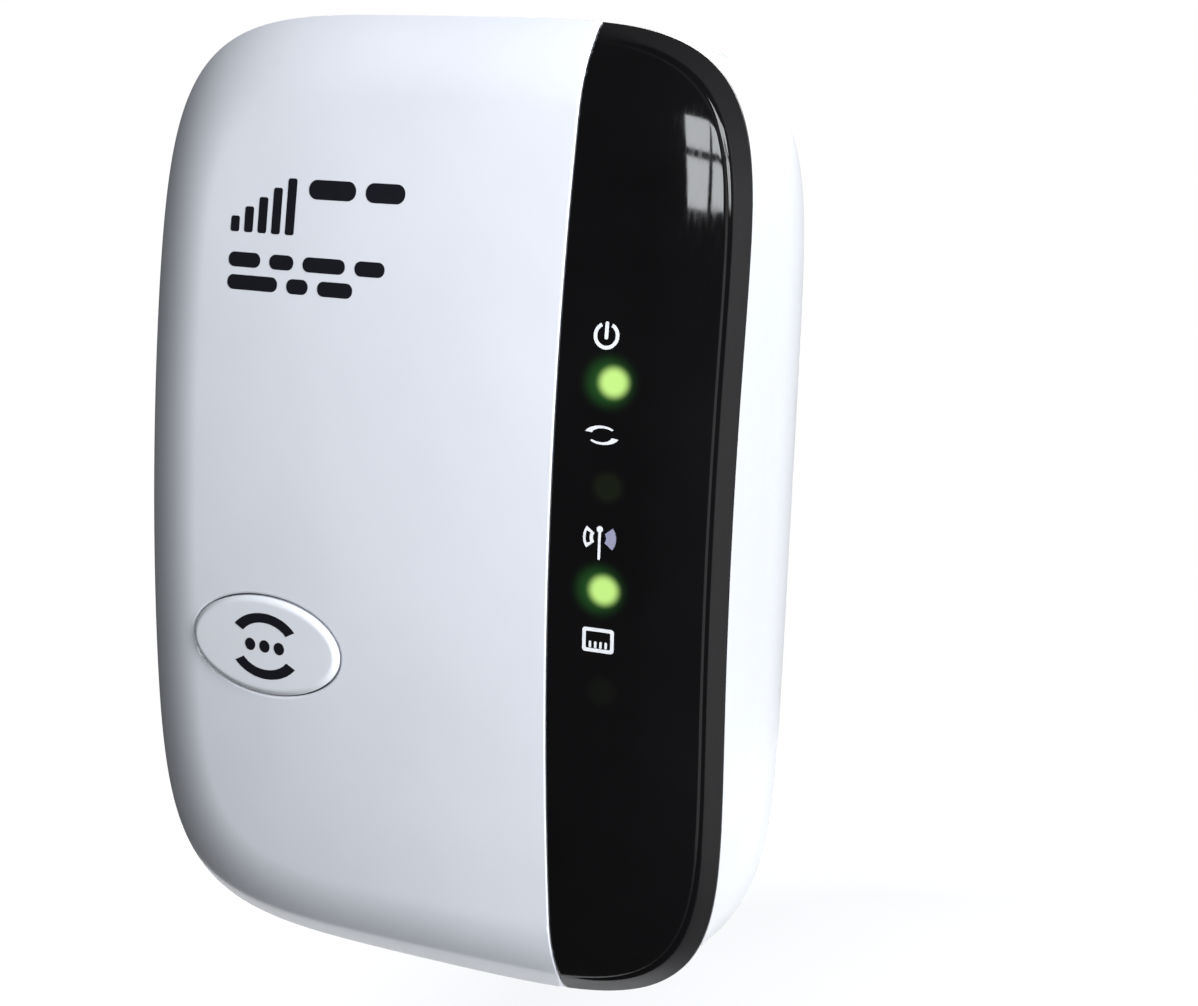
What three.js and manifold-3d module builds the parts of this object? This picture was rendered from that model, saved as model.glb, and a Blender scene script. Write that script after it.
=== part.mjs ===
// A wall-plug wifi range extender: two-part case with a glossy indicator strip, a sprung pairing button,
// a logic board, a mains supply board and two flat plug blades, each as its own closed solid.
// Millimetres. +X is the viewer's right, +Y points into the wall, +Z is up.
// The origin is the centre of the flat rear face that lies against the wall.
import * as THREE from 'three';
import { mergeVertices } from 'three/addons/utils/BufferGeometryUtils.js';
import Module from 'manifold-3d';

const wasm = await Module();
wasm.setup();

// ---- Driving dimensions ---------------------------------------------------------------------------

// Case outline: a superellipse, squarer at the ends than at the sides.
const HALF_WIDTH = 38.15;
const HALF_HEIGHT = 55;
const SIDE_POWER = 4.5;
const END_POWER = 7;
const SIDE_STEPS = 6;
const END_STEPS = 5;

// Front cover: the parting line bows forward at mid height. The face rolls over along its edge on a
// circular arc, and is crowned across its width.
const PARTING_Y = -22;
const PARTING_BOW = 4.9;
const PARTING_STEPS = 24;
const RIM_STRAIGHT = 0.3;
const ROLL_WIDTH = 9;
const ROLL_HEIGHT = 3;
const ROLL_INSETS = [9, 7, 5.2, 3.6, 2.2, 1.1, 0.4, 0];
const FACE_CROWN = 1.7;
const FACE_SCALES = [0.35, 0.7];
const FRONT_WALL = 2;

// Glossy strip on the cover's right side, let into a ledge.
const STRIP_EDGE_X = 18.5;
const STRIP_WALL = 1.2;
const LEDGE_DROP = 1.4;
const LEDGE_WALL = 1.4;

// Rear shell: insets of its outer side at each depth, from the parting line to the flat rear face.
const REAR_PROFILE = [[-34, 0], [-14, 0.7], [-6.5, 1.7], [-3, 3], [-1, 4.8], [0, 6.8]];
const REAR_CAVITY = [[-34, 2.2], [-18, 2.3], [-14, 2.9], [-6.5, 3.9], [-3.6, 5.2], [-2.2, 7.2]];
const LIP_PROUD = 0.7;
const LIP_WIDTH = 1.2;
const LIP_X = [-30, 17];
const LIP_TOP_Z = -45;

// Skirt of the front cover that slides inside the rear shell.
const SKIRT_OUTER = 2.7;
const SKIRT_INNER = 3.8;
const SKIRT_REACH = 2.5;

// Clearances.
const GAP = 0.3;
const SEAT = 0.05;
const ROUND_STEPS = 16;

// Vents: slots through the top and bottom walls of the rear shell.
const VENT_WIDTH = 1.8;
const VENT_PITCH = 4;
const VENT_Y = [-15.5, -6.5];
const TOP_VENTS = { first: -7, last: 7 };
const LOWER_VENTS = [{ first: -7, last: -4 }, { first: 6, last: 7 }];

// Case screws: deep counterbored bosses behind, pilot bosses in front.
const CASE_SCREW_X = 25;
const CASE_SCREW_Z = 40;
const BOSS_RADIUS = 4.2;
const COUNTERBORE_RADIUS = 2.8;
const SCREW_BORE_RADIUS = 1.7;
const SCREW_SEAT_Y = -14;
const FRONT_BOSS_RADIUS = 3.2;
const PILOT_RADIUS = 1.45;
const PILOT_END_Y = -25.4;
const SCREW_RADIUS = 1.3;
const SCREW_HEAD_RADIUS = 2.5;
const SCREW_HEAD_HEIGHT = 1.8;
const SCREW_TIP_Y = -25.1;

// Pairing button: an oval cap through the cover, over a tactile switch.
const BUTTON = { x: -18.9, z: -18, halfWidth: 10.6, halfHeight: 5.9 };
const BUTTON_PROUD = 0.5;
const BUTTON_FLANGE = 1.2;
const BUTTON_FLANGE_DROP = [2.3, 3.3];
const BUTTON_STEM_RADIUS = 2;
const BUTTON_STEM_Y = [-28, -26.9];

// Boards.
const MAIN_BOARD = { front: -21.6, back: -20.4, inset: 5.2 };
const POWER_BOARD = { front: -5.6, back: -4, halfWidth: 29, low: -35, high: 6 };
const POWER_SCREW = { x: 25.5, z: 2.5, radius: 0.95, headRadius: 2.2 };

// Indicators on the strip, from top to bottom.
const LED_X = 25.2;
const LED_TOP_Z = 16.9;
const LED_PITCH = 11.25;
const LED_NAMES = ['led_power', 'led_sync', 'led_signal', 'led_ethernet'];
const LED_BODY = { width: 3, height: 2.4, depth: 1.1 };
const LED_WINDOW_RADIUS = 1.1;

// Stamped antennas standing on feet along the main board's upper edge.
const ANTENNA = { plate: [-22.9, -22.5], low: 40.6, high: 45.4 };

// Network jack in the bottom face.
const JACK = { x: 10, width: 16, front: -20.35, back: -6.85, mouth: -54, end: -38 };
const JACK_CAVITY = { halfWidth: 5.95, front: -16.8, back: -9.2, end: -41.6 };
const JACK_LATCH = [{ halfWidth: 3.1, front: -18.2, end: -43 }, { halfWidth: 1.7, front: -19.3, end: -45 }];
const CONTACT_COUNT = 8;
const CONTACT_PITCH = 1.27;
const CONTACT_TILT = 8;

// Reset switch behind a pin hole in the bottom face.
const RESET = { x: -10, y: -18.35, mouth: -44, face: -47.5, tip: -49.2, radius: 1.1, hole: 0.9 };

// Mains plug: a carrier in the rear wall with two flat parallel blades.
const PLUG_Z = 20;
const BLADE_SPACING = 12.7;
const BLADE = { thickness: 1.52, width: 6.35, tip: 17, inner: -10.5, chamfer: 1.3 };
const BLADE_HOLE = { radius: 1.6, y: 11.9 };
const BLADE_CLEAR = 0.15;
const CARRIER_PLATE = { halfWidth: 15, halfHeight: 9, face: -0.2 };
const CARRIER_FLANGE = { halfWidth: 17, halfHeight: 11, front: -4.6, back: -2.5 };
const CARRIER_BLOCK = { halfWidth: 11, halfHeight: 6, front: -9 };

// Blank rating label in its recess on the rear face.
const LABEL = { halfWidth: 22, low: -33, high: -9, recess: 0.35, thickness: 0.2 };

// ---- Solid helpers --------------------------------------------------------------------------------

function toSolid(geometry) {
  const bare = geometry.clone();
  bare.deleteAttribute('normal');
  bare.deleteAttribute('uv');
  const merged = mergeVertices(bare, 1e-4);
  const mesh = new wasm.Mesh({
    numProp: 3,
    vertProperties: new Float32Array(merged.attributes.position.array),
    triVerts: new Uint32Array(merged.index.array),
  });
  return new wasm.Manifold(mesh);
}

function toGeometry(solid) {
  const mesh = solid.getMesh();
  const geometry = new THREE.BufferGeometry();
  geometry.setAttribute('position', new THREE.BufferAttribute(mesh.vertProperties, 3));
  geometry.setIndex(new THREE.BufferAttribute(mesh.triVerts, 1));
  geometry.computeVertexNormals();
  return geometry;
}

function box([x0, x1], [y0, y1], [z0, z1]) {
  const geometry = new THREE.BoxGeometry(x1 - x0, y1 - y0, z1 - z0);
  return toSolid(geometry.translate((x0 + x1) / 2, (y0 + y1) / 2, (z0 + z1) / 2));
}

// A box given by its centre and size across the wall, and by its depth range.
function block(x, z, width, height, depth) {
  return box([x - width / 2, x + width / 2], depth, [z - height / 2, z + height / 2]);
}

function rodAlongY(x, z, radius, [y0, y1], steps = ROUND_STEPS) {
  const geometry = new THREE.CylinderGeometry(radius, radius, y1 - y0, steps);
  return toSolid(geometry.translate(x, (y0 + y1) / 2, z));
}

function rodAlongZ(x, y, radius, [z0, z1], steps = ROUND_STEPS) {
  const geometry = new THREE.CylinderGeometry(radius, radius, z1 - z0, steps);
  return toSolid(geometry.rotateX(Math.PI / 2).translate(x, y, (z0 + z1) / 2));
}

function rodAlongX(y, z, radius, [x0, x1], steps = ROUND_STEPS) {
  const geometry = new THREE.CylinderGeometry(radius, radius, x1 - x0, steps);
  return toSolid(geometry.rotateZ(Math.PI / 2).translate((x0 + x1) / 2, y, z));
}

const joined = (solids) => solids.reduce((sum, solid) => sum.add(solid));

// ---- Case surfaces --------------------------------------------------------------------------------

// One turn of the case outline, inset by a distance, starting at +X and turning towards +Z.
function outlinePoints(halfWidth, halfHeight) {
  const cornerX = halfWidth * 0.5 ** (1 / SIDE_POWER);
  const cornerZ = halfHeight * 0.5 ** (1 / END_POWER);
  const quarter = [];
  for (let i = 0; i < SIDE_STEPS; i += 1) {
    const z = cornerZ * Math.sin((i / SIDE_STEPS) * (Math.PI / 2));
    quarter.push([halfWidth * (1 - (z / halfHeight) ** END_POWER) ** (1 / SIDE_POWER), z]);
  }
  for (let i = 0; i < END_STEPS; i += 1) {
    const x = cornerX * Math.cos((i / END_STEPS) * (Math.PI / 2));
    quarter.push([x, halfHeight * (1 - (x / halfWidth) ** SIDE_POWER) ** (1 / END_POWER)]);
  }
  const upperLeft = [[0, halfHeight], ...quarter.slice(1).reverse().map(([x, z]) => [-x, z])];
  const upper = [...quarter, ...upperLeft];
  return [...upper, ...upper.map(([x, z]) => [-x, -z])];
}

// A closed solid through rings listed from front to back. Each ring has half sizes and a depth at each point.
function loft(rings) {
  const positions = [];
  const indices = [];
  const loops = rings.map(({ halfWidth, halfHeight, depth }) => (
    outlinePoints(halfWidth, halfHeight).map(([x, z]) => [x, depth(x, z), z])
  ));
  const count = loops[0].length;
  loops.forEach((loop) => loop.forEach((point) => positions.push(...point)));
  const front = loops.length * count;
  positions.push(0, rings[0].depth(0, 0), 0);
  const back = front + 1;
  positions.push(0, rings[rings.length - 1].depth(0, 0), 0);
  for (let i = 0; i < count; i += 1) {
    const next = (i + 1) % count;
    for (let k = 0; k + 1 < loops.length; k += 1) {
      const here = k * count;
      const there = here + count;
      indices.push(here + i, there + i, here + next);
      indices.push(here + next, there + i, there + next);
    }
    const last = (loops.length - 1) * count;
    indices.push(front, i, next);
    indices.push(back, last + next, last + i);
  }
  const geometry = new THREE.BufferGeometry();
  geometry.setAttribute('position', new THREE.Float32BufferAttribute(positions, 3));
  geometry.setIndex(indices);
  return toSolid(geometry);
}

// The case outline as a straight prism between two depths.
function outlinePrism(inset, [y0, y1]) {
  const ring = (y) => ({ halfWidth: HALF_WIDTH - inset, halfHeight: HALF_HEIGHT - inset, depth: () => y });
  return loft([ring(y0), ring(y1)]);
}

const partingDepth = (z) => PARTING_Y - PARTING_BOW * (1 - (z / HALF_HEIGHT) ** 2);
const crown = (x) => FACE_CROWN * (1 - (x / HALF_WIDTH) ** 2);

// Height that the edge roll has gained at a distance in from the outline.
function rollRise(inset) {
  const radius = (ROLL_WIDTH ** 2 + ROLL_HEIGHT ** 2) / (2 * ROLL_HEIGHT);
  return ROLL_HEIGHT - radius + Math.sqrt(radius ** 2 - (ROLL_WIDTH - inset) ** 2);
}

// The cover's outer form, inset all round and dropped towards the wall, running back to a flat end.
function coverForm(inset, drop) {
  const ring = (rollInset, scale) => ({
    halfWidth: (HALF_WIDTH - inset - rollInset) * scale,
    halfHeight: (HALF_HEIGHT - inset - rollInset) * scale,
    depth: (x, z) => partingDepth(z) - RIM_STRAIGHT - rollRise(rollInset) - crown(x) + drop,
  });
  const face = FACE_SCALES.map((scale) => ring(ROLL_WIDTH, scale));
  const roll = ROLL_INSETS.map((rollInset) => ring(rollInset, 1));
  const end = { ...ring(0, 1), depth: () => PARTING_Y + 10 };
  return loft([...face, ...roll, end]);
}

// Everything in front of the parting line, shifted towards the wall by an offset.
function beforeParting(offset) {
  const reach = HALF_HEIGHT + 5;
  const shape = new THREE.Shape();
  shape.moveTo(PARTING_Y - 30, -reach);
  for (let i = 0; i <= PARTING_STEPS; i += 1) {
    const z = reach * (2 * (i / PARTING_STEPS) - 1);
    shape.lineTo(partingDepth(z) + offset, z);
  }
  shape.lineTo(PARTING_Y - 30, reach);
  const width = 2 * HALF_WIDTH + 10;
  const geometry = new THREE.ExtrudeGeometry(shape, { depth: width, bevelEnabled: false });
  const turned = new THREE.Matrix4().makeBasis(
    new THREE.Vector3(0, 1, 0),
    new THREE.Vector3(0, 0, 1),
    new THREE.Vector3(1, 0, 0),
  );
  return toSolid(geometry.applyMatrix4(turned).translate(-width / 2, 0, 0));
}

// The part of the case on one side of the strip's edge.
const ALL_Y = [PARTING_Y - 40, 30];
const ALL_Z = [-HALF_HEIGHT - 20, HALF_HEIGHT + 20];
const leftOf = (x) => box([-HALF_WIDTH - 20, x], ALL_Y, ALL_Z);
const rightOf = (x) => box([x, HALF_WIDTH + 20], ALL_Y, ALL_Z);

// An oval prism at the button's place, grown by a margin.
function buttonOval(margin, [y0, y1]) {
  const shape = new THREE.Shape();
  shape.absellipse(0, 0, BUTTON.halfWidth + margin, BUTTON.halfHeight + margin, 0, 2 * Math.PI);
  const options = { depth: y1 - y0, bevelEnabled: false, curveSegments: 18 };
  const geometry = new THREE.ExtrudeGeometry(shape, options);
  return toSolid(geometry.rotateX(-Math.PI / 2).rotateX(Math.PI).translate(BUTTON.x, y1, BUTTON.z));
}

const CORNERS = [[-1, 1], [1, 1], [-1, -1], [1, -1]];
const CASE_SCREWS = CORNERS.map(([sideX, sideZ]) => [sideX * CASE_SCREW_X, sideZ * CASE_SCREW_Z]);
const LEDS = LED_NAMES.map((name, i) => ({ name, z: LED_TOP_Z - i * LED_PITCH }));

// ---- Case parts -----------------------------------------------------------------------------------

function jackClearance() {
  return box(
    [JACK.x - JACK.width / 2 - GAP, JACK.x + JACK.width / 2 + GAP],
    [JACK.front - GAP, JACK.back + GAP],
    [-HALF_HEIGHT - 5, JACK.end + GAP],
  );
}

function frontShell() {
  const white = coverForm(0, 0).intersect(leftOf(STRIP_EDGE_X - GAP / 2));
  const ledge = coverForm(LEDGE_DROP, LEDGE_DROP).intersect(rightOf(STRIP_EDGE_X - 1));
  const outer = white.add(ledge);
  const skirt = outer
    .intersect(outlinePrism(SKIRT_OUTER, [-40, -10]))
    .intersect(beforeParting(SKIRT_REACH));
  const shallow = coverForm(SKIRT_INNER, FRONT_WALL).intersect(leftOf(STRIP_EDGE_X - FRONT_WALL));
  const deep = coverForm(SKIRT_INNER, LEDGE_DROP + LEDGE_WALL);
  const bosses = CASE_SCREWS.map(([x, z]) => (
    rodAlongY(x, z, FRONT_BOSS_RADIUS, [-34, MAIN_BOARD.front - GAP])
  ));
  const insideSkin = coverForm(LEDGE_DROP + 0.2, LEDGE_DROP + 0.2);
  const pilots = CASE_SCREWS.map(([x, z]) => rodAlongY(x, z, PILOT_RADIUS, [PILOT_END_Y, -20]));
  const windows = LEDS.map(({ z }) => rodAlongY(LED_X, z, LED_WINDOW_RADIUS, [-36, -20], 12));
  return outer
    .intersect(beforeParting(-GAP / 2))
    .add(skirt)
    .subtract(shallow.add(deep))
    .add(joined(bosses).intersect(insideSkin))
    .subtract(joined([...pilots, ...windows]))
    .subtract(buttonOval(GAP + SEAT, [-40, -20]))
    .subtract(jackClearance());
}

function indicatorStrip() {
  return coverForm(0, 0)
    .subtract(coverForm(STRIP_WALL, STRIP_WALL))
    .intersect(rightOf(STRIP_EDGE_X + GAP / 2))
    .intersect(beforeParting(-GAP / 2));
}

function wpsButton() {
  const [flangeTop, flangeBottom] = BUTTON_FLANGE_DROP;
  const below = coverForm(SKIRT_INNER, flangeBottom);
  const cap = buttonOval(0, [-40, -20]).intersect(coverForm(0, -BUTTON_PROUD)).subtract(below);
  const flange = buttonOval(BUTTON_FLANGE, [-40, -20])
    .intersect(coverForm(SKIRT_INNER, flangeTop))
    .subtract(below);
  const stem = rodAlongY(BUTTON.x, BUTTON.z, BUTTON_STEM_RADIUS, BUTTON_STEM_Y);
  return cap.add(flange).add(stem);
}

function rearProfileForm(profile) {
  return loft(profile.map(([y, inset]) => ({
    halfWidth: HALF_WIDTH - inset,
    halfHeight: HALF_HEIGHT - inset,
    depth: () => y,
  })));
}

function ventCut(index, [z0, z1]) {
  const x = index * VENT_PITCH;
  return box([x - VENT_WIDTH / 2, x + VENT_WIDTH / 2], VENT_Y, [z0, z1]);
}

function ventRow({ first, last }, zRange) {
  const slots = [];
  for (let index = first; index <= last; index += 1) {
    slots.push(ventCut(index, zRange));
  }
  return joined(slots);
}

function partingSlab(from, to) {
  return beforeParting(to).subtract(beforeParting(from));
}

// Finger lip: a proud bead along the lower edge, just behind the parting line.
function fingerLip() {
  const tall = [-40, -10];
  const band = partingSlab(GAP / 2, LIP_WIDTH).intersect(box(LIP_X, ALL_Y, [-HALF_HEIGHT - 5, LIP_TOP_Z]));
  return outlinePrism(-LIP_PROUD, tall).subtract(outlinePrism(1, tall)).intersect(band);
}

function rearShell() {
  const shell = rearProfileForm(REAR_PROFILE)
    .subtract(rearProfileForm(REAR_CAVITY))
    .subtract(beforeParting(GAP / 2))
    .add(fingerLip());
  const bosses = CASE_SCREWS.map(([x, z]) => rodAlongY(x, z, BOSS_RADIUS, [MAIN_BOARD.back + GAP, -1.5]));
  const posts = [-1, 1].map((side) => (
    rodAlongY(side * POWER_SCREW.x, POWER_SCREW.z, 2.6, [POWER_BOARD.back + GAP, -1.5])
  ));
  const bores = CASE_SCREWS.map(([x, z]) => rodAlongY(x, z, SCREW_BORE_RADIUS, [-30, 1]));
  const counterbores = CASE_SCREWS.map(([x, z]) => rodAlongY(x, z, COUNTERBORE_RADIUS, [SCREW_SEAT_Y, 1]));
  const pilots = [-1, 1].map((side) => (
    rodAlongY(side * POWER_SCREW.x, POWER_SCREW.z, POWER_SCREW.radius + 0.1, [-6, -0.9], 12)
  ));
  const resetHole = rodAlongZ(RESET.x, RESET.y, RESET.hole, [-HALF_HEIGHT - 5, RESET.face], 16);
  const plugHole = block(
    0,
    PLUG_Z,
    2 * (CARRIER_PLATE.halfWidth + GAP),
    2 * (CARRIER_PLATE.halfHeight + GAP),
    [-6, 5],
  );
  const labelRecess = box([-LABEL.halfWidth, LABEL.halfWidth], [-LABEL.recess, 5], [LABEL.low, LABEL.high]);
  const vents = [
    ventRow(TOP_VENTS, [47, 60]),
    ...LOWER_VENTS.map((row) => ventRow(row, [-60, -47])),
  ];
  return shell
    .add(joined([...bosses, ...posts]))
    .subtract(joined([...bores, ...counterbores, ...pilots, ...vents]))
    .subtract(joined([jackClearance(), resetHole, plugHole, labelRecess]));
}

function caseScrew([x, z]) {
  const head = [SCREW_SEAT_Y + SEAT, SCREW_SEAT_Y + SEAT + SCREW_HEAD_HEIGHT];
  const slot = joined([block(x, z, 2.6, 0.7, [head[1] - 0.9, 0]), block(x, z, 0.7, 2.6, [head[1] - 0.9, 0])]);
  return rodAlongY(x, z, SCREW_HEAD_RADIUS, head)
    .add(rodAlongY(x, z, SCREW_RADIUS, [SCREW_TIP_Y, head[1] - 0.5], 16))
    .subtract(slot);
}

function ratingLabel() {
  const edge = LABEL.halfWidth - 0.2;
  const depth = [-LABEL.recess + SEAT, -LABEL.recess + SEAT + LABEL.thickness];
  return box([-edge, edge], depth, [LABEL.low + 0.2, LABEL.high - 0.2]);
}

// ---- Mains plug -----------------------------------------------------------------------------------

const bladeX = (side) => (side * BLADE_SPACING) / 2;

function plugCarrier() {
  const { halfWidth, halfHeight, face } = CARRIER_PLATE;
  const plate = block(0, PLUG_Z, 2 * halfWidth, 2 * halfHeight, [CARRIER_FLANGE.front, face]);
  const flange = block(
    0,
    PLUG_Z,
    2 * CARRIER_FLANGE.halfWidth,
    2 * CARRIER_FLANGE.halfHeight,
    [CARRIER_FLANGE.front, CARRIER_FLANGE.back],
  );
  const core = block(
    0,
    PLUG_Z,
    2 * CARRIER_BLOCK.halfWidth,
    2 * CARRIER_BLOCK.halfHeight,
    [CARRIER_BLOCK.front, CARRIER_FLANGE.front + 1],
  );
  const slots = [-1, 1].map((side) => block(
    bladeX(side),
    PLUG_Z,
    BLADE.thickness + 2 * BLADE_CLEAR,
    BLADE.width + 2 * BLADE_CLEAR,
    [-20, 5],
  ));
  return joined([plate, flange, core]).subtract(joined(slots));
}

function plugBlade(side) {
  const half = BLADE.width / 2;
  const shape = new THREE.Shape();
  shape.moveTo(BLADE.inner, -half);
  shape.lineTo(BLADE.tip - BLADE.chamfer, -half);
  shape.lineTo(BLADE.tip, -half + BLADE.chamfer);
  shape.lineTo(BLADE.tip, half - BLADE.chamfer);
  shape.lineTo(BLADE.tip - BLADE.chamfer, half);
  shape.lineTo(BLADE.inner, half);
  shape.closePath();
  const hole = new THREE.Path();
  hole.absarc(BLADE_HOLE.y, 0, BLADE_HOLE.radius, 0, 2 * Math.PI, true);
  shape.holes.push(hole);
  const geometry = new THREE.ExtrudeGeometry(shape, { depth: BLADE.thickness, bevelEnabled: false });
  const turned = new THREE.Matrix4().makeBasis(
    new THREE.Vector3(0, 1, 0),
    new THREE.Vector3(0, 0, 1),
    new THREE.Vector3(1, 0, 0),
  );
  return toSolid(geometry.applyMatrix4(turned).translate(bladeX(side) - BLADE.thickness / 2, 0, PLUG_Z));
}

// An insulated lead from a blade's inner end to its pad on the supply board.
function mainsLead(side, padX) {
  const route = new THREE.CatmullRomCurve3([
    new THREE.Vector3(bladeX(side), BLADE.inner - 2 * GAP, PLUG_Z),
    new THREE.Vector3(bladeX(side), BLADE.inner - 2.2, PLUG_Z - 1.2),
    new THREE.Vector3((bladeX(side) + padX) / 2, BLADE.inner - 1.4, PLUG_Z - 9),
    new THREE.Vector3(padX, POWER_BOARD.front - 2.6, PLUG_Z - 15.6),
    new THREE.Vector3(padX, POWER_BOARD.front - GAP, PLUG_Z - 16),
  ]);
  const section = new THREE.Shape();
  section.absarc(0, 0, 0.9, 0, 2 * Math.PI, false);
  const options = { steps: 18, extrudePath: route, curveSegments: 5, bevelEnabled: false };
  return toSolid(new THREE.ExtrudeGeometry(section, options));
}

// ---- Main board -----------------------------------------------------------------------------------

// Depth ranges of a piece of a given height standing on a board's face.
const onMainBack = (height, lift = 0) => [0, height].map((rise) => MAIN_BOARD.back + SEAT + lift + rise);
const onMainFront = (height) => [MAIN_BOARD.front - SEAT - height, MAIN_BOARD.front - SEAT];
const onPower = (height) => [POWER_BOARD.front - SEAT - height, POWER_BOARD.front - SEAT];

function mainBoard() {
  const holes = CASE_SCREWS.map(([x, z]) => rodAlongY(x, z, SCREW_BORE_RADIUS + 0.2, [-30, -10], 16));
  return outlinePrism(MAIN_BOARD.inset, [MAIN_BOARD.front, MAIN_BOARD.back]).subtract(joined(holes));
}

function heatSink() {
  const base = block(0, 31, 22, 18, onMainBack(1.5, 1.7));
  const fins = [-10, -6, -2, 2, 6, 10].map((x) => block(x, 31, 1.2, 18, onMainBack(3.8, 1.7)));
  return joined([base, ...fins]);
}

function ledBody(z) {
  return block(LED_X, z, LED_BODY.width, LED_BODY.height, onMainFront(LED_BODY.depth));
}

function lightBaffle() {
  const low = LEDS[LEDS.length - 1].z - 3.4;
  const high = LEDS[0].z + 3.4;
  const body = box([LED_X - 3, LED_X + 3], [-26.2, MAIN_BOARD.front - SEAT], [low, high]);
  const wells = LEDS.map(({ z }) => block(LED_X, z, LED_BODY.width + 0.8, LED_BODY.height + 0.8, [-30, -20]));
  return body.subtract(joined(wells));
}

function antenna(x0, x1) {
  const { plate, low, high } = ANTENNA;
  const sheet = box([x0, x1], plate, [low, high]);
  const slot = box([x0 + 3, x1 - 2.5], [plate[0] - 1, plate[1] + 1], [low + 1.6, low + 2.6]);
  const feet = [x0, x0 + 4].map((x) => (
    box([x, x + 1.2], [plate[1] - 0.2, MAIN_BOARD.front - SEAT], [low, low + 0.6])
  ));
  return sheet.subtract(slot).add(joined(feet));
}

// Tactile switch on the board's front, with a round hole for its plunger.
function wpsSwitchBody() {
  return block(BUTTON.x, BUTTON.z, 6, 6, onMainFront(3.5))
    .subtract(rodAlongY(BUTTON.x, BUTTON.z, 1.85, [-30, -23.2]));
}

function wpsSwitchPlunger() {
  return rodAlongY(BUTTON.x, BUTTON.z, 1.7, [-26.7, -24.2]);
}

// Side-pressed switch on the board's back, facing down behind the pin hole.
function resetSwitchBody() {
  return box([RESET.x - 3, RESET.x + 3], onMainBack(4), [RESET.face, RESET.mouth])
    .subtract(rodAlongZ(RESET.x, RESET.y, RESET.radius + 0.15, [-50, RESET.face + 2], 16));
}

function resetSwitchPlunger() {
  return rodAlongZ(RESET.x, RESET.y, RESET.radius, [RESET.tip, RESET.face + 1.2], 16);
}

function ethernetJack() {
  const { x, width, front, back, mouth, end } = JACK;
  const body = box([x - width / 2, x + width / 2], [front, back], [mouth, end]);
  const { halfWidth } = JACK_CAVITY;
  const depth = [JACK_CAVITY.front, JACK_CAVITY.back];
  const cavity = box([x - halfWidth, x + halfWidth], depth, [-60, JACK_CAVITY.end]);
  const latch = JACK_LATCH.map((step) => (
    box([x - step.halfWidth, x + step.halfWidth], [step.front, JACK_CAVITY.front + 1], [-60, step.end])
  ));
  return body.subtract(joined([cavity, ...latch]));
}

// Eight spring contacts on one moulded comb, slanting from the jack's inner corner towards its mouth.
function ethernetContacts() {
  const halfBar = (CONTACT_COUNT * CONTACT_PITCH) / 2 + 0.3;
  const bar = box([JACK.x - halfBar, JACK.x + halfBar], [-11, -9.5], [-43.4, -41.9]);
  const wires = [];
  for (let i = 0; i < CONTACT_COUNT; i += 1) {
    const geometry = new THREE.BoxGeometry(0.45, 0.35, 8);
    geometry.translate(0, 0, -4).rotateX(THREE.MathUtils.degToRad(-CONTACT_TILT));
    const x = JACK.x + (i - (CONTACT_COUNT - 1) / 2) * CONTACT_PITCH;
    wires.push(toSolid(geometry.translate(x, -10.2, -43)));
  }
  return joined([bar, ...wires]);
}

// ---- Supply board ---------------------------------------------------------------------------------

function powerBoard() {
  const { halfWidth, low, high, front, back } = POWER_BOARD;
  const holes = [-1, 1].map((side) => rodAlongY(side * POWER_SCREW.x, POWER_SCREW.z, 1.3, [-8, -2], 16));
  return box([-halfWidth, halfWidth], [front, back], [low, high]).subtract(joined(holes));
}

function powerBoardScrew(side) {
  const x = side * POWER_SCREW.x;
  const head = [POWER_BOARD.front - SEAT - 1.4, POWER_BOARD.front - SEAT];
  return rodAlongY(x, POWER_SCREW.z, POWER_SCREW.headRadius, head, 16)
    .add(rodAlongY(x, POWER_SCREW.z, POWER_SCREW.radius, [head[0] + 0.4, -1.2], 12))
    .subtract(block(x, POWER_SCREW.z, 2.4, 0.6, [head[0] - 1, head[0] + 0.5]));
}

const TRANSFORMER = { x: -4, y: -12.2, z: -12 };

function transformerCore() {
  const { x, y, z } = TRANSFORMER;
  const frame = box([x - 9, x + 9], [y - 6.4, y + 6.4], [z - 3, z + 3]);
  const windows = [-1, 1].map((side) => (
    box([x - 6, x + 6], [y + side * 2.9 - 1.4, y + side * 2.9 + 1.4], [z - 5, z + 5])
  ));
  return frame.subtract(joined(windows));
}

function transformerWinding() {
  const { x, y, z } = TRANSFORMER;
  const outer = box([x - 5.6, x + 5.6], [y - 4, y + 4], [z - 5.6, z + 5.6]);
  const bore = box([x - 8, x + 8], [y - 1.8, y + 1.8], [z - 3.3, z + 3.3]);
  return outer.subtract(bore);
}

function lyingCapacitor(x0, length, z, radius) {
  return rodAlongX(POWER_BOARD.front - SEAT - radius, z, radius, [x0, x0 + length], 24);
}

function filterChoke() {
  const [y0, y1] = onPower(9);
  const flanges = [[y0, y0 + 1.2], [y1 - 1.2, y1]].map((depth) => rodAlongY(-20, -25, 4, depth, 24));
  return joined([...flanges, rodAlongY(-20, -25, 3.2, [y0 + 0.5, y1 - 0.5], 24)]);
}

// Pin header that carries the low voltage from the supply board to the main board.
function boardLink() {
  const [y0, y1] = [MAIN_BOARD.back + SEAT, POWER_BOARD.front - SEAT];
  const blocks = [[y0, y0 + 2.5], [y1 - 2.5, y1]].map((depth) => block(-8, -29, 10.4, 2.6, depth));
  const pins = [-3.81, -1.27, 1.27, 3.81].map((x) => block(x - 8, -29, 0.64, 0.64, [y0 + 1, y1 - 1]));
  return joined([...blocks, ...pins]);
}

// ---- Assembly -------------------------------------------------------------------------------------

const group = new THREE.Group();
group.name = 'wifi_range_extender';

function add(name, solid, color, roughness, metalness = 0) {
  const material = new THREE.MeshStandardMaterial({ color, roughness, metalness });
  const mesh = new THREE.Mesh(toGeometry(solid), material);
  mesh.name = name;
  group.add(mesh);
}

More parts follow.
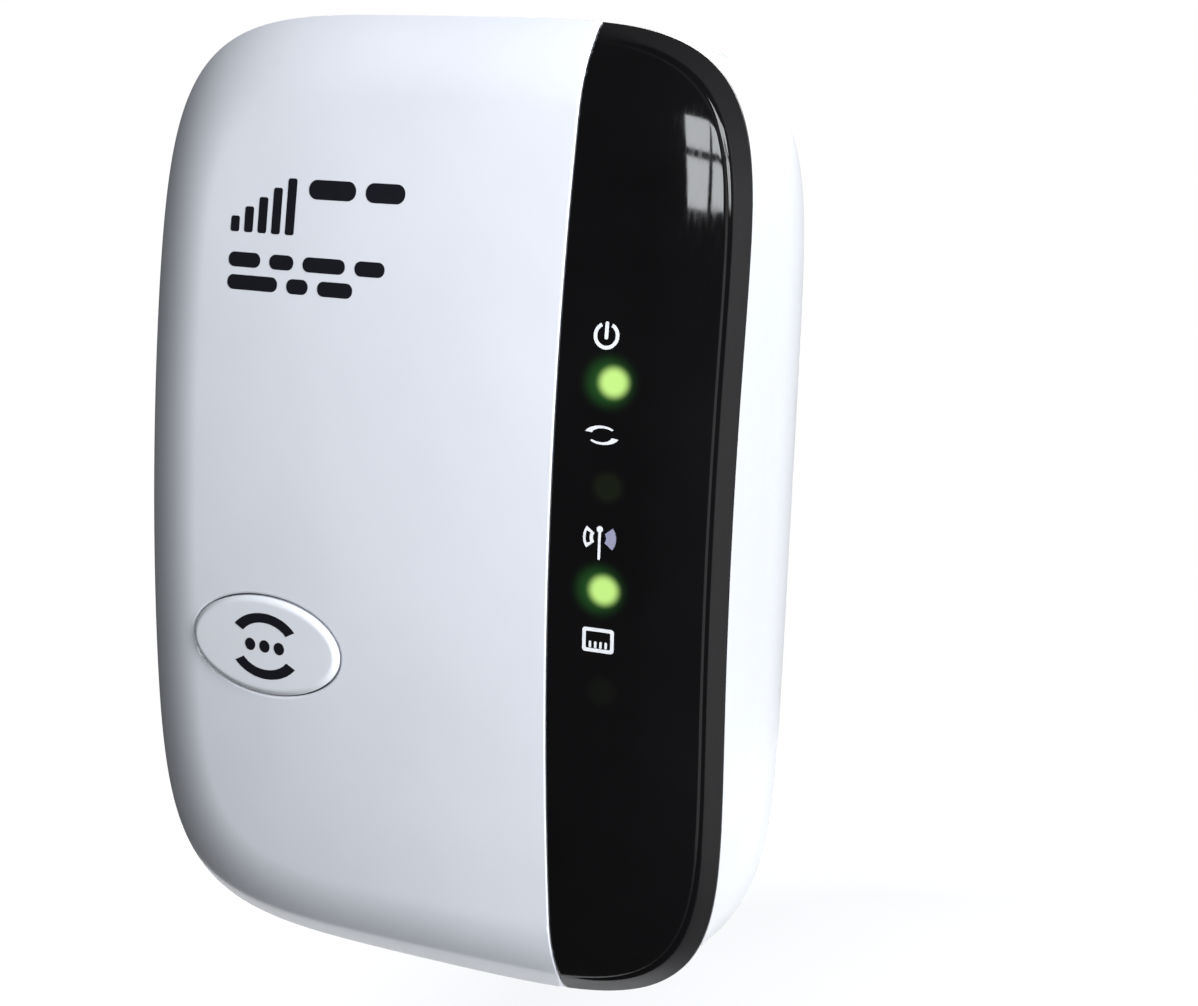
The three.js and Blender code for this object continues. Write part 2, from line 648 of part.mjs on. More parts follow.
const WHITE = 0xe4e6ee;
const BLACK = 0x0c0b0d;
const CIRCUIT_GREEN = 0x1f5a38;
const CHIP = 0x1c1c1f;
const NICKEL = 0xc8c6bf;
const STEEL = 0xa9abb0;

add('front_shell', frontShell(), WHITE, 0.25);
add('indicator_strip', indicatorStrip(), BLACK, 0.08);
add('wps_button', wpsButton(), WHITE, 0.3);
add('rear_shell', rearShell(), WHITE, 0.4);
add('rating_label', ratingLabel(), 0xd9dadd, 0.5);
CASE_SCREWS.forEach((place, i) => add(`case_screw_${i + 1}`, caseScrew(place), STEEL, 0.35, 1));

add('plug_carrier', plugCarrier(), 0xdfe0e6, 0.45);
add('plug_blade_left', plugBlade(-1), NICKEL, 0.25, 1);
add('plug_blade_right', plugBlade(1), NICKEL, 0.25, 1);
add('neutral_lead', mainsLead(-1, -2.2), 0xf2f2f0, 0.5);
add('live_lead', mainsLead(1, 15), 0x1a1a1a, 0.5);

add('main_board', mainBoard(), CIRCUIT_GREEN, 0.4);
add('soc_chip', block(0, 31, 12, 12, onMainBack(1)), CHIP, 0.5);
add('thermal_pad', block(0, 31, 12, 12, onMainBack(0.55, 1.05)), 0x8fa3b8, 0.8);
add('heat_sink', heatSink(), 0xb4b7bb, 0.35, 1);
add('memory_chip', block(-19, 26, 8, 12, onMainBack(1.1)), CHIP, 0.5);
add('flash_chip', block(-19, 13, 6, 5, onMainBack(1.6)), CHIP, 0.5);
add('clock_crystal', block(17, 31, 5, 3.2, onMainBack(1)), NICKEL, 0.3, 1);
add('lan_transformer', block(10.3, -31.6, 12.7, 9.4, onMainBack(5.6)), CHIP, 0.45);
add('antenna_2g', antenna(-21.5, -2.5), NICKEL, 0.3, 1);
add('antenna_5g', antenna(2.5, 16), NICKEL, 0.3, 1);
LEDS.forEach(({ name, z }) => add(name, ledBody(z), 0xd8f0c8, 0.2));
add('light_baffle', lightBaffle(), 0xf0f0ee, 0.6);
add('wps_switch_body', wpsSwitchBody(), CHIP, 0.5);
add('wps_switch_plunger', wpsSwitchPlunger(), 0xe8e8e4, 0.5);
add('reset_switch_body', resetSwitchBody(), CHIP, 0.5);
add('reset_switch_plunger', resetSwitchPlunger(), 0x8a2a20, 0.5);
add('ethernet_jack', ethernetJack(), 0x151517, 0.35);
add('ethernet_contacts', ethernetContacts(), 0xd9b45a, 0.25, 1);

add('power_board', powerBoard(), 0xb08a4e, 0.5);
[-1, 1].forEach((side, i) => add(`power_board_screw_${i + 1}`, powerBoardScrew(side), STEEL, 0.35, 1));
add('transformer_core', transformerCore(), 0x2a2a2c, 0.6);
add('transformer_winding', transformerWinding(), 0xd8c23a, 0.5);
add('bulk_capacitor_1', lyingCapacitor(-27.5, 13, -4.4, 4), 0x23262c, 0.35);
add('bulk_capacitor_2', lyingCapacitor(-27.5, 13, -13.2, 4), 0x23262c, 0.35);
add('output_capacitor', lyingCapacitor(12, 11, -29.5, 3.15), 0x2b4a34, 0.35);
add('filter_choke', filterChoke(), 0x202022, 0.5);
add('fuse_resistor', rodAlongX(-7.3, 3.4, 1.6, [2.5, 11.5], 16), 0x8f5b3a, 0.5);
add('bridge_rectifier', block(-10, 2.2, 6.6, 4.8, onPower(2.5)), CHIP, 0.5);
add('safety_capacitor', rodAlongX(-9.8, -10, 3.8, [8, 11.2], 24), 0x2f62a8, 0.4);
add('supply_controller', block(18.5, -10, 5, 4, onPower(1.6)), CHIP, 0.5);
add('board_link', boardLink(), 0x18181a, 0.5);

export default group;
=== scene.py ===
"""Looks of the wall-plug wifi range extender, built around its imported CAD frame.

Row frame: +X is the viewer's right, +Y points into the wall, +Z is up, and the origin is the centre of
the flat rear face. Lengths are in millimetres, and MM turns them into metres where meshes are made.
"""

import math

import bmesh
import bpy
import numpy as np
from mathutils import Matrix, Vector
from mathutils.geometry import delaunay_2d_cdt


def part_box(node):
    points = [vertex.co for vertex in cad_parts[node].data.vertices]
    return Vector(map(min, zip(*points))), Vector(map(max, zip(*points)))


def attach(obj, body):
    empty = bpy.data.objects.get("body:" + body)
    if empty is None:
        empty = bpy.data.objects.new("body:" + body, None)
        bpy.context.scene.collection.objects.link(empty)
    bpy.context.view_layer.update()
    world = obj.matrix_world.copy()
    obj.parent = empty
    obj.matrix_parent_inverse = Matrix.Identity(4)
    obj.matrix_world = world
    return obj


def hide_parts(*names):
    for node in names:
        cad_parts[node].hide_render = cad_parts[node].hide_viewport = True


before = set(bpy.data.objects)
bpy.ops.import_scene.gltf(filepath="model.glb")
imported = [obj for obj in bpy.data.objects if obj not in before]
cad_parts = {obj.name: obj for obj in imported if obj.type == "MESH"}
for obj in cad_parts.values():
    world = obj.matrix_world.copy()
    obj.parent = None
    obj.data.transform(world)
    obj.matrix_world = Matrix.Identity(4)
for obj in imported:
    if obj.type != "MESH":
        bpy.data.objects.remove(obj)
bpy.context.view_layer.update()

MM = 0.001
TAU = 2 * math.pi


def mm_box(node):
    """Lowest and highest corner of a CAD node, in millimetres."""
    low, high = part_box(node)
    return np.array(low) / MM, np.array(high) / MM


def mm_centre(node):
    low, high = mm_box(node)
    return (low + high) / 2


# ---- Driving dimensions: those of the CAD source, with finer seams and clearances ----

HALF_WIDTH = 38.15
HALF_HEIGHT = 55.0
SIDE_POWER = 4.5
END_POWER = 7.0

PARTING_Y = -22.0
PARTING_BOW = 4.9
PARTING_GAP = 0.12
RIM_STRAIGHT = 0.3
ROLL_WIDTH = 9.0
ROLL_HEIGHT = 3.0
FACE_CROWN = 1.7
COVER_WALL = 2.0

STRIP_EDGE_X = 18.5
STRIP_SEAM = 0.05
STRIP_WALL = 1.2
LEDGE_DROP = 1.45
LEDGE_WALL = 1.3

SKIRT_OUTER = 2.8
SKIRT_INNER = 3.8
SKIRT_REACH = 2.5

DRAFT_START_Y = -34.0
REAR_STRAIGHT_Y = -14.0
REAR_STRAIGHT_INSET = 0.7
REAR_INSET = 6.8
REAR_WALL = 2.2
LIP_PROUD = 0.7
LIP_WIDTH = 1.2
LIP_X = (-30.0, 17.0)
LIP_START = 0.5
LIP_FADE = 9.0
LIP_Z = -44.0
LIP_CLIMB = 3.0

VENT_WIDTH = 1.8
VENT_PITCH = 4.0
VENT_Y = (-15.5, -6.5)
VENT_Z = (47, 60)
TOP_VENTS = range(-7, 8)
LOWER_VENTS = (-7, -6, -5, -4, 6, 7)

# The CAD nodes that give the bosses and bores their places.
CASE_SCREWS = [f"case_screw_{i}" for i in range(1, 5)]
BOARD_SCREWS = ["power_board_screw_1", "power_board_screw_2"]

SCREW_SEAT_Y = -14.0
BOSS_RADIUS = 4.2
BOSS_END_Y = -20.0
COUNTERBORE_RADIUS = 2.8
SCREW_BORE_RADIUS = 1.7
PILOT_BOSS_RADIUS = 3.2
PILOT_RADIUS = 1.45
POST_END_Y = -3.8
# Width, height and corner radius of the opening that the plug carrier fills.
CARRIER_OPENING = (30.7, 18.7, 1.6)
RESET_HOLE_RADIUS = 0.9

BUTTON_X = -18.9
BUTTON_Z = -18.0
BUTTON_HALF_WIDTH = 10.6
BUTTON_HALF_HEIGHT = 5.9
BUTTON_PROUD = 0.48
BUTTON_GAP = 0.18
BUTTON_DEPTH = 3.2

LED_X = 25.2
LED_TOP_Z = 16.9
LED_PITCH = 11.25
LED_Z = [LED_TOP_Z - i * LED_PITCH for i in range(4)]


# ---- Case surfaces ----

def parting_depth(z):
    """Depth of the parting line between cover and rear shell, which bows forward at mid height."""
    return PARTING_Y - PARTING_BOW * (1 - (z / HALF_HEIGHT) ** 2)


def face_depth(x, z, rise):
    """Depth of the crowned face where the edge roll has gained a rise."""
    return parting_depth(z) - RIM_STRAIGHT - rise - FACE_CROWN * (1 - (x / HALF_WIDTH) ** 2)


def case_level(x, z, inset):
    """1 on the case outline drawn in by inset, less inside it and more outside."""
    side = (np.abs(x) / (HALF_WIDTH - inset)) ** SIDE_POWER
    return side + (np.abs(z) / (HALF_HEIGHT - inset)) ** END_POWER


def edge_inset(x, z):
    """How far in from the case outline a point lies."""
    low = np.zeros(np.broadcast(x, z).shape)
    high = np.full_like(low, HALF_WIDTH - 0.5)
    for _ in range(36):
        middle = (low + high) / 2
        inside = case_level(x, z, middle) < 1
        low = np.where(inside, middle, low)
        high = np.where(inside, high, middle)
    return low


def roll_rise(inset):
    """Height that the edge roll has gained at a distance in from the outline: a circular arc."""
    radius = (ROLL_WIDTH ** 2 + ROLL_HEIGHT ** 2) / (2 * ROLL_HEIGHT)
    left = ROLL_WIDTH - np.minimum(inset, ROLL_WIDTH)
    return ROLL_HEIGHT - radius + np.sqrt(radius ** 2 - left ** 2)


def fillet(distance, radius):
    """Drop of a rounded edge at a distance in from it."""
    left = 1 - np.clip(distance / radius, 0, 1)
    return radius * (1 - np.sqrt(np.clip(1 - left ** 2, 0, 1)))


def cover_depth(x, z):
    return face_depth(x, z, roll_rise(edge_inset(x, z)))


BAND_WIDTH = 1.55
BAND_RISE = 1.5
BAND_BLEND = 0.22
BAND_RUN_IN = 12.0
GROOVE_INSET = 1.85
GROOVE_DEPTH = 0.07
GROOVE_WIDTH = 0.19


def strip_depth(x, z):
    """The strip's face: flush with the cover, but with a bevelled band and a soft crease along its edge."""
    inset = edge_inset(x, z)
    band = BAND_RISE * inset / BAND_WIDTH
    beyond = np.clip((ROLL_WIDTH - inset) / (ROLL_WIDTH - BAND_WIDTH), 0, 1)
    shoulder = ROLL_HEIGHT - (ROLL_HEIGHT - BAND_RISE) * beyond ** 2
    soft = np.sqrt((band - shoulder) ** 2 + BAND_BLEND ** 2)
    rise = (band + shoulder - soft) / 2
    rise = rise - GROOVE_DEPTH * np.exp(-(((inset - GROOVE_INSET) / GROOVE_WIDTH) ** 2))
    away = np.clip((x - STRIP_EDGE_X) / BAND_RUN_IN, 0, 1)
    share = away * away * (3 - 2 * away)
    return face_depth(x, z, share * np.maximum(rise, 0) + (1 - share) * roll_rise(inset))


def oval_distance(x, z, half_width, half_height):
    """Roughly how far in from an oval at the button's place a point lies. Negative outside."""
    u = (x - BUTTON_X) / half_width
    v = (z - BUTTON_Z) / half_height
    size = np.sqrt(u * u + v * v) + 1e-9
    slope = np.sqrt((u / half_width) ** 2 + (v / half_height) ** 2) / size + 1e-9
    return (1 - size) / slope


def outline(inset, count=480):
    """One turn of the case outline, evenly spaced, starting at +X and turning towards +Z."""
    turn = np.linspace(0, TAU, 40001)
    half_width = HALF_WIDTH - inset
    half_height = HALF_HEIGHT - inset
    x = half_width * np.sign(np.cos(turn)) * np.abs(np.cos(turn)) ** (2 / SIDE_POWER)
    z = half_height * np.sign(np.sin(turn)) * np.abs(np.sin(turn)) ** (2 / END_POWER)
    run = np.concatenate([[0], np.cumsum(np.hypot(np.diff(x), np.diff(z)))])
    even = np.linspace(0, run[-1], count, endpoint=False)
    return np.column_stack([np.interp(even, run, x), np.interp(even, run, z)])


def oval(half_width, half_height, count=160):
    turn = np.linspace(0, TAU, count, endpoint=False)
    x = BUTTON_X + half_width * np.cos(turn)
    z = BUTTON_Z + half_height * np.sin(turn)
    return np.column_stack([x, z])


# ---- Mesh helpers ----

SLOPE_STEP = 0.01
SOFT_ANGLE = 35
END_STEPS = 10
CORNER_STEPS = 6


def add_object(name, data):
    obj = bpy.data.objects.new(name, data)
    bpy.context.scene.collection.objects.link(obj)
    return obj


def mesh_object(name, points, faces):
    """An object from points in millimetres."""
    mesh = bpy.data.meshes.new(name)
    mesh.from_pydata([tuple(p) for p in np.asarray(points) * MM], [], faces)
    mesh.update()
    return add_object(name, mesh)


def face_out(obj):
    """Turns every face of a closed mesh outwards."""
    bm = bmesh.new()
    bm.from_mesh(obj.data)
    bmesh.ops.recalc_face_normals(bm, faces=bm.faces)
    bm.to_mesh(obj.data)
    bm.free()


def smooth(obj, degrees=SOFT_ANGLE):
    obj.data.shade_smooth()
    obj.data.set_sharp_from_angle(angle=math.radians(degrees))


def cut(obj, cutters, operation="DIFFERENCE"):
    """Cuts closed objects out of obj, or joins them to it, and deletes them."""
    for cutter in cutters:
        step = obj.modifiers.new("cut", "BOOLEAN")
        step.operation = operation
        step.solver = "EXACT"
        step.object = cutter
    bpy.context.view_layer.update()
    solved = obj.evaluated_get(bpy.context.evaluated_depsgraph_get())
    obj.data = bpy.data.meshes.new_from_object(solved)
    obj.modifiers.clear()
    for cutter in cutters:
        bpy.data.objects.remove(cutter)


def soften(obj, width):
    """Rounds the sharp edges of a piece with a bevel modifier."""
    step = obj.modifiers.new("soften", "BEVEL")
    step.width = width * MM
    step.segments = 2
    step.limit_method = "ANGLE"
    step.angle_limit = math.radians(SOFT_ANGLE)
    smooth(obj)


def inside_loops(points, loops):
    """Which points lie inside an odd number of loops."""
    inside = np.zeros(len(points), bool)
    px, pz = points[:, 0], points[:, 1]
    for loop in loops:
        following = np.roll(loop, -1, axis=0)
        for (x0, z0), (x1, z1) in zip(loop, following):
            crosses = (z0 > pz) != (z1 > pz)
            if crosses.any():
                reach = x0 + (pz - z0) * (x1 - x0) / (z1 - z0 + 1e-30)
                inside ^= crosses & (px < reach)
    return inside


def height_solid(name, loops, fill, front, back):
    """A closed solid between two depth functions over a flat region.

    loops are the region's outline and its holes in X and Z, and fill is the points between them.
    The front's normals come from the depth function itself, so that its highlights run smoothly."""
    fill = np.asarray(fill, float).reshape(-1, 2)
    points = np.vstack([*loops, fill[inside_loops(fill, loops)]])
    edges = []
    start = 0
    for loop in loops:
        count = len(loop)
        edges.extend((start + i, start + (i + 1) % count) for i in range(count))
        start += count
    flat = delaunay_2d_cdt([Vector(p) for p in points], edges, [], 0, 1e-6)
    spots = np.array([tuple(v) for v in flat[0]])
    triangles = np.array(flat[2])
    triangles = triangles[inside_loops(spots[triangles].mean(axis=1), loops)]
    used, triangles = np.unique(triangles, return_inverse=True)
    x, z = spots[used].T
    count = len(used)
    vertices = np.vstack([np.column_stack([x, depth(x, z), z]) for depth in (front, back)])
    faces = [tuple(t) for t in triangles.reshape(-1, 3).tolist()]
    front_count = len(faces)
    directed = {pair for a, b, c in faces for pair in ((a, b), (b, c), (c, a))}
    rim = [(a, b) for a, b in sorted(directed) if (b, a) not in directed]
    faces += [(c + count, b + count, a + count) for a, b, c in faces]
    faces += [(b, a, a + count, b + count) for a, b in rim]
    obj = mesh_object(name, vertices, faces)
    side = np.zeros((count, 3))
    for a, b in rim:
        across = np.array([z[b] - z[a], 0, x[a] - x[b]])
        across /= np.hypot(across[0], across[2]) + 1e-12
        side[a] += across
        side[b] += across
    side /= np.linalg.norm(side, axis=1)[:, None] + 1e-12
    # Slopes are taken just inside the rim, because the depth functions stop being smooth at it.
    step = SLOPE_STEP
    x = x - 2 * step * side[:, 0]
    z = z - 2 * step * side[:, 2]
    slope_x = front(x + step, z) - front(x - step, z)
    slope_z = front(x, z + step) - front(x, z - step)
    normal = np.column_stack([slope_x, np.full(count, -2 * step), slope_z])
    normal /= np.linalg.norm(normal, axis=1)[:, None]
    set_normals(obj, front_count, count, normal, side)
    return obj


def set_normals(obj, front_count, count, normal, side):
    """Smooth normals on a height solid's front, flat ones on its back and rounded ones round its rim."""
    mesh = obj.data
    mesh.shade_smooth()
    normals = []
    for polygon in mesh.polygons:
        for index in polygon.vertices:
            if polygon.index < front_count:
                normals.append(tuple(normal[index]))
            elif polygon.index < 2 * front_count:
                normals.append(tuple(polygon.normal))
            else:
                normals.append(tuple(side[index % count]))
    mesh.normals_split_custom_set(normals)


def spun(name, profile, centre, steps=48):
    """A turned piece. profile holds (radius, depth) from one end of its Y axis to the other."""
    points = []
    faces = []
    rings = []
    for radius, depth in profile:
        if radius == 0:
            rings.append([len(points)])
            points.append((0, depth, 0))
            continue
        rings.append(list(range(len(points), len(points) + steps)))
        for i in range(steps):
            turn = TAU * i / steps
            points.append((radius * math.sin(turn), depth, radius * math.cos(turn)))
    for low, high in zip(rings, rings[1:]):
        for i in range(steps):
            after = (i + 1) % steps
            if len(low) == 1:
                faces.append((low[0], high[after], high[i]))
            elif len(high) == 1:
                faces.append((low[i], low[after], high[0]))
            else:
                faces.append((low[i], low[after], high[after], high[i]))
    obj = mesh_object(name, np.array(points) + np.array(centre), faces)
    face_out(obj)
    smooth(obj, 30)
    return obj


def loop_loft(name, rings, gap=-1):
    """A closed solid through rings that have as many points each.

    Each ring is joined to the next, and the last to the first, except after ring number gap, where
    both rings are capped. A gap of None joins them all."""
    count = len(rings[0])
    total = len(rings)
    skipped = None if gap is None else gap % total
    faces = []
    for low in range(total):
        high = (low + 1) % total
        if low == skipped:
            faces.append(tuple(range(high * count, (high + 1) * count))[::-1])
            faces.append(tuple(range(low * count, (low + 1) * count)))
            continue
        for i in range(count):
            after = (i + 1) % count
            faces.append((low * count + i, low * count + after, high * count + after, high * count + i))
    obj = mesh_object(name, np.vstack(rings), faces)
    face_out(obj)
    return obj


def at_depth(loop, y):
    """A loop in X and Z at one depth, or at a depth for each point."""
    return np.column_stack([loop[:, 0], np.broadcast_to(y, len(loop)), loop[:, 1]])


def moved(loop, x, z):
    return np.asarray(loop) + np.array([x, z])


def disc(radius, steps=32):
    turn = np.linspace(0, TAU, steps, endpoint=False)
    return np.column_stack([radius * np.cos(turn), radius * np.sin(turn)])


def stadium(width, height):
    """An upright slot outline with round ends, about the origin."""
    radius = width / 2
    points = []
    for middle, first in ((height / 2 - radius, 0), (radius - height / 2, math.pi)):
        for i in range(END_STEPS + 1):
            turn = first + math.pi * i / END_STEPS
            points.append((radius * math.cos(turn), middle + radius * math.sin(turn)))
    return np.array(points)


def rounded_rectangle(width, height, radius):
    points = []
    for quarter, (side_x, side_z) in enumerate(((1, 1), (-1, 1), (-1, -1), (1, -1))):
        for i in range(CORNER_STEPS + 1):
            turn = (quarter + i / CORNER_STEPS) * math.pi / 2
            x = side_x * (width / 2 - radius) + radius * math.cos(turn)
            z = side_z * (height / 2 - radius) + radius * math.sin(turn)
            points.append((x, z))
    return np.array(points)


def box_cutter(low, high):
    (x0, y0, z0), (x1, y1, z1) = low, high
    return prism_along_y("cutter", np.array([(x0, z0), (x1, z0), (x1, z1), (x0, z1)]), y0, y1)


def prism_along_y(name, loop, y0, y1):
    return loop_loft(name, [at_depth(loop, y0), at_depth(loop, y1)])


def prism_along_z(name, loop, z0, z1):
    return loop_loft(name, [np.column_stack([loop, np.full(len(loop), z)]) for z in (z0, z1)])


def grid(x0, x1, z0, z1, pitch):
    """Points of a staggered grid."""
    rows = []
    for row, z in enumerate(np.arange(z0, z1, pitch * 0.87)):
        x = np.arange(x0 + (row % 2) * pitch / 2, x1, pitch)
        rows.append(np.column_stack([x, np.full(len(x), z)]))
    return np.vstack(rows)


# ---- Materials ----

class Nodes:
    """Short ways to add nodes to one material."""

    def __init__(self, name):
        self.material = bpy.data.materials.new(name)
        self.material.use_nodes = True
        self.tree = self.material.node_tree
        self.shader = self.tree.nodes["Principled BSDF"]
        self.place = self.node("TexCoord", {}, "Object")
        self.normal = self.node("TexCoord", {}, "Normal")

    def feed(self, target, value):
        """Links a socket to an input, or sets a plain number, vector or colour."""
        if isinstance(value, bpy.types.NodeSocket):
            self.tree.links.new(value, target)
        elif isinstance(value, tuple):
            target.default_value = (*value, 1)[:len(target.default_value)]
        else:
            target.default_value = value

    def node(self, kind, inputs, output, **settings):
        """One output of a new node, with its inputs fed by name or number."""
        made = self.tree.nodes.new("ShaderNode" + kind)
        for key, value in settings.items():
            setattr(made, key, value)
        for key, value in inputs.items():
            self.feed(made.inputs[key], value)
        return made.outputs[output]

    def noise(self, size, detail=3.0, stretch=(1, 1, 1)):
        """Noise whose features are about size millimetres across."""
        scale = tuple(s / (size * MM) for s in stretch)
        place = self.node("Mapping", {"Vector": self.place, "Scale": scale}, "Vector")
        return self.node("TexNoise", {"Vector": place, "Scale": 1.0, "Detail": detail}, "Fac")

    def cells(self, size):
        """Voronoi cell distance for a moulded grain, with cells about size millimetres across."""
        inputs = {"Vector": self.place, "Scale": 1 / (size * MM)}
        return self.node("TexVoronoi", inputs, "Distance", feature="SMOOTH_F1")

    def spread(self, value, low, high, start=0.3, end=0.7, shape="LINEAR"):
        """A value mapped from start and end to low and high. The defaults suit a noise value."""
        inputs = {"Value": value, "From Min": start, "From Max": end, "To Min": low, "To Max": high}
        return self.node("MapRange", inputs, "Result", interpolation_type=shape)

    def sloped(self, flat, steep):
        """0 where the surface faces straight forward or back, and 1 where it leans past steep."""
        forward = self.node("SeparateXYZ", {0: self.normal}, "Y")
        return self.spread(self.maths("ABSOLUTE", forward), 1, 0, steep, flat)

    def blend(self, factor, one, two):
        """A colour between two colours or colour sockets."""
        return self.node("Mix", {"Factor": factor, 6: one, 7: two}, 2, data_type="RGBA")

    def mottle(self, noise, color, dark, start=0.3, end=0.7):
        """A colour that noise darkens, down to a share of itself."""
        return self.blend(self.spread(noise, 0, 1, start, end), color, shade(color, dark))

    def maths(self, operation, one, two=0.5):
        return self.node("Math", {0: one, 1: two}, 0, operation=operation)

    def vector(self, operation, one, two=(0, 0, 0)):
        """Vector maths. A length or distance gives a plain value."""
        output = "Value" if operation in ("LENGTH", "DISTANCE") else "Vector"
        return self.node("VectorMath", {0: one, 1: two}, output, operation=operation)

    def bump(self, height, distance, strength=1.0, over=None):
        """A bump of height times distance millimetres, over an earlier bump."""
        inputs = {"Strength": strength, "Distance": distance * MM, "Height": height}
        if over is not None:
            inputs["Normal"] = over
        return self.node("Bump", inputs, "Normal")

    def set(self, **values):
        """Plain numbers or sockets for the shader's inputs; underscores stand for spaces."""
        for key, value in values.items():
            self.feed(self.shader.inputs[key.replace("_", " ")], value)


def shade(color, factor):
    return tuple(c * factor for c in color)


def gloss_plastic(name, color, roughness=0.16):
    """Polished ABS: faint colour drift, a very shallow moulded waviness and fine handling marks."""
    n = Nodes(name)
    drift = n.noise(14, 2)
    n.set(Base_Color=n.mottle(drift, color, 0.965))
    marks = n.noise(0.5, 4, (1, 1, 0.15))
    n.set(Roughness=n.spread(marks, roughness * 0.92, roughness * 1.15, 0.35, 0.72))
    ripple = n.bump(n.noise(5.5, 1), 0.006, 0.5)
    n.set(Normal=n.bump(n.noise(0.22, 2), 0.0004, 0.5, ripple))
    n.set(IOR=1.5, Coat_Weight=0.35, Coat_Roughness=0.09)
    return n.material


def grained_plastic(name, color, roughness=0.42, grain=0.28, depth=0.006):
    """Moulded plastic with a fine spark-eroded grain and slightly burnished high spots."""
    n = Nodes(name)
    drift = n.noise(10, 3)
    cell = n.cells(grain)
    tone = n.mottle(drift, color, 0.95)
    n.set(Base_Color=n.blend(n.spread(cell, 0, 0.35, 0.1, 0.8), tone, shade(color, 0.9)))
    n.set(Roughness=n.spread(drift, roughness * 0.85, roughness * 1.15))
    fine = n.bump(cell, depth, 0.6)
    n.set(Normal=n.bump(n.noise(grain * 2.5, 3), depth, 0.35, fine))
    n.set(IOR=1.5)
    return n.material


def metal(name, color, roughness=0.25, brush=(1, 1, 0.08), stain=0.8):
    """Plated or stamped metal with drawing lines and dull spots."""
    n = Nodes(name)
    lines = n.noise(0.18, 3, brush)
    dull = n.noise(2.6, 4)
    n.set(Base_Color=n.mottle(dull, color, stain, 0.45, 0.75))
    drawn = n.spread(lines, roughness * 0.7, roughness * 1.3)
    rough = n.maths("ADD", drawn, n.spread(dull, 0, 0.12, 0.5, 0.8))
    n.set(Metallic=1.0, Roughness=rough)
    n.set(Normal=n.bump(lines, 0.004, 0.5))
    return n.material


def circuit_board(name, color, copper):
    """Solder mask over copper: traces show as slightly raised, lighter bands."""
    n = Nodes(name)
    wave = {"Vector": n.place, "Scale": 1 / (6.5 * MM)}
    bands = [n.node("TexWave", wave, "Fac", wave_type="BANDS", bands_direction=axis) for axis in "XZ"]
    patch = n.spread(n.noise(9, 0), 0, 1, 0.48, 0.52)
    one_way = n.maths("MULTIPLY", bands[0], patch)
    other_way = n.maths("MULTIPLY", bands[1], n.spread(patch, 1, 0, 0, 1))
    lines = n.maths("MAXIMUM", one_way, other_way)
    trace = n.spread(lines, 0, 1, 0.72, 0.8)
    n.set(Base_Color=n.blend(trace, color, copper))
    n.set(Roughness=n.spread(n.noise(1.5, 3), 0.24, 0.4))
    n.set(Normal=n.bump(trace, 0.03, 0.6))
    return n.material


def matte(name, color, roughness=0.6, size=0.4, depth=0.01, stretch=(1, 1, 1)):
    """A dull surface with its own grain: moulded resin, tape, ferrite or rubber."""
    n = Nodes(name)
    grain = n.noise(size, 4, stretch)
    n.set(Base_Color=n.mottle(grain, color, 0.8))
    n.set(Roughness=n.spread(n.noise(size * 6, 2), roughness * 0.85, min(1.0, roughness * 1.15)))
    n.set(Normal=n.bump(grain, depth, 0.6))
    return n.material


def printed(name, color, roughness=0.4):
    """Screen-printed ink, slightly uneven."""
    n = Nodes(name)
    speck = n.noise(0.35, 3)
    n.set(Base_Color=n.mottle(speck, color, 0.85))
    n.set(Roughness=n.spread(n.noise(1.2, 2), roughness * 0.85, roughness * 1.2))
    n.set(Normal=n.bump(speck, 0.002, 0.4))
    return n.material


STRIP_BLACK = (0.0035, 0.0032, 0.0036)
# Colours, sizes and strength of the glow painted as emission onto the strip over the lights.
LIT = (0.60, 0.95, 0.26)
HALO = (0.03, 0.17, 0.03)
LED_CORE = 1.5
LED_SPILL = 4.2
GLOW_FALLOFF = 1.9
GLOW_STRENGTH = 0.42


def lit_spot(n, z, core, reach, shift=0.0):
    """How strongly the glow painted on the strip shows above a light: 1 in its core, falling to 0 at its
    reach.
    """
    away = n.vector("SUBTRACT", n.place, ((LED_X + shift) * MM, 0, z * MM))
    far = n.vector("LENGTH", n.vector("MULTIPLY", away, (0.95, 0, 1)))
    return n.spread(far, 1, 0, core * MM, reach * MM, "SMOOTHERSTEP")


# The satin band along the strip's edge, rougher than the face, with a grey base colour that is partly a
# painted sheen. It fades in between two values of the normal's forward part.
BAND_SLOPES = (0.84, 0.76)
BAND_SHEEN_GREY = (0.0085, 0.008, 0.0085)
BAND_ROUGHNESS = 0.32

# How brightly each light's glow is painted onto the strip, from the top: the first and third are on, and
# the other two get a faint painted glow.
LED_POWER = (1.0, 0.009, 0.95, 0.003)


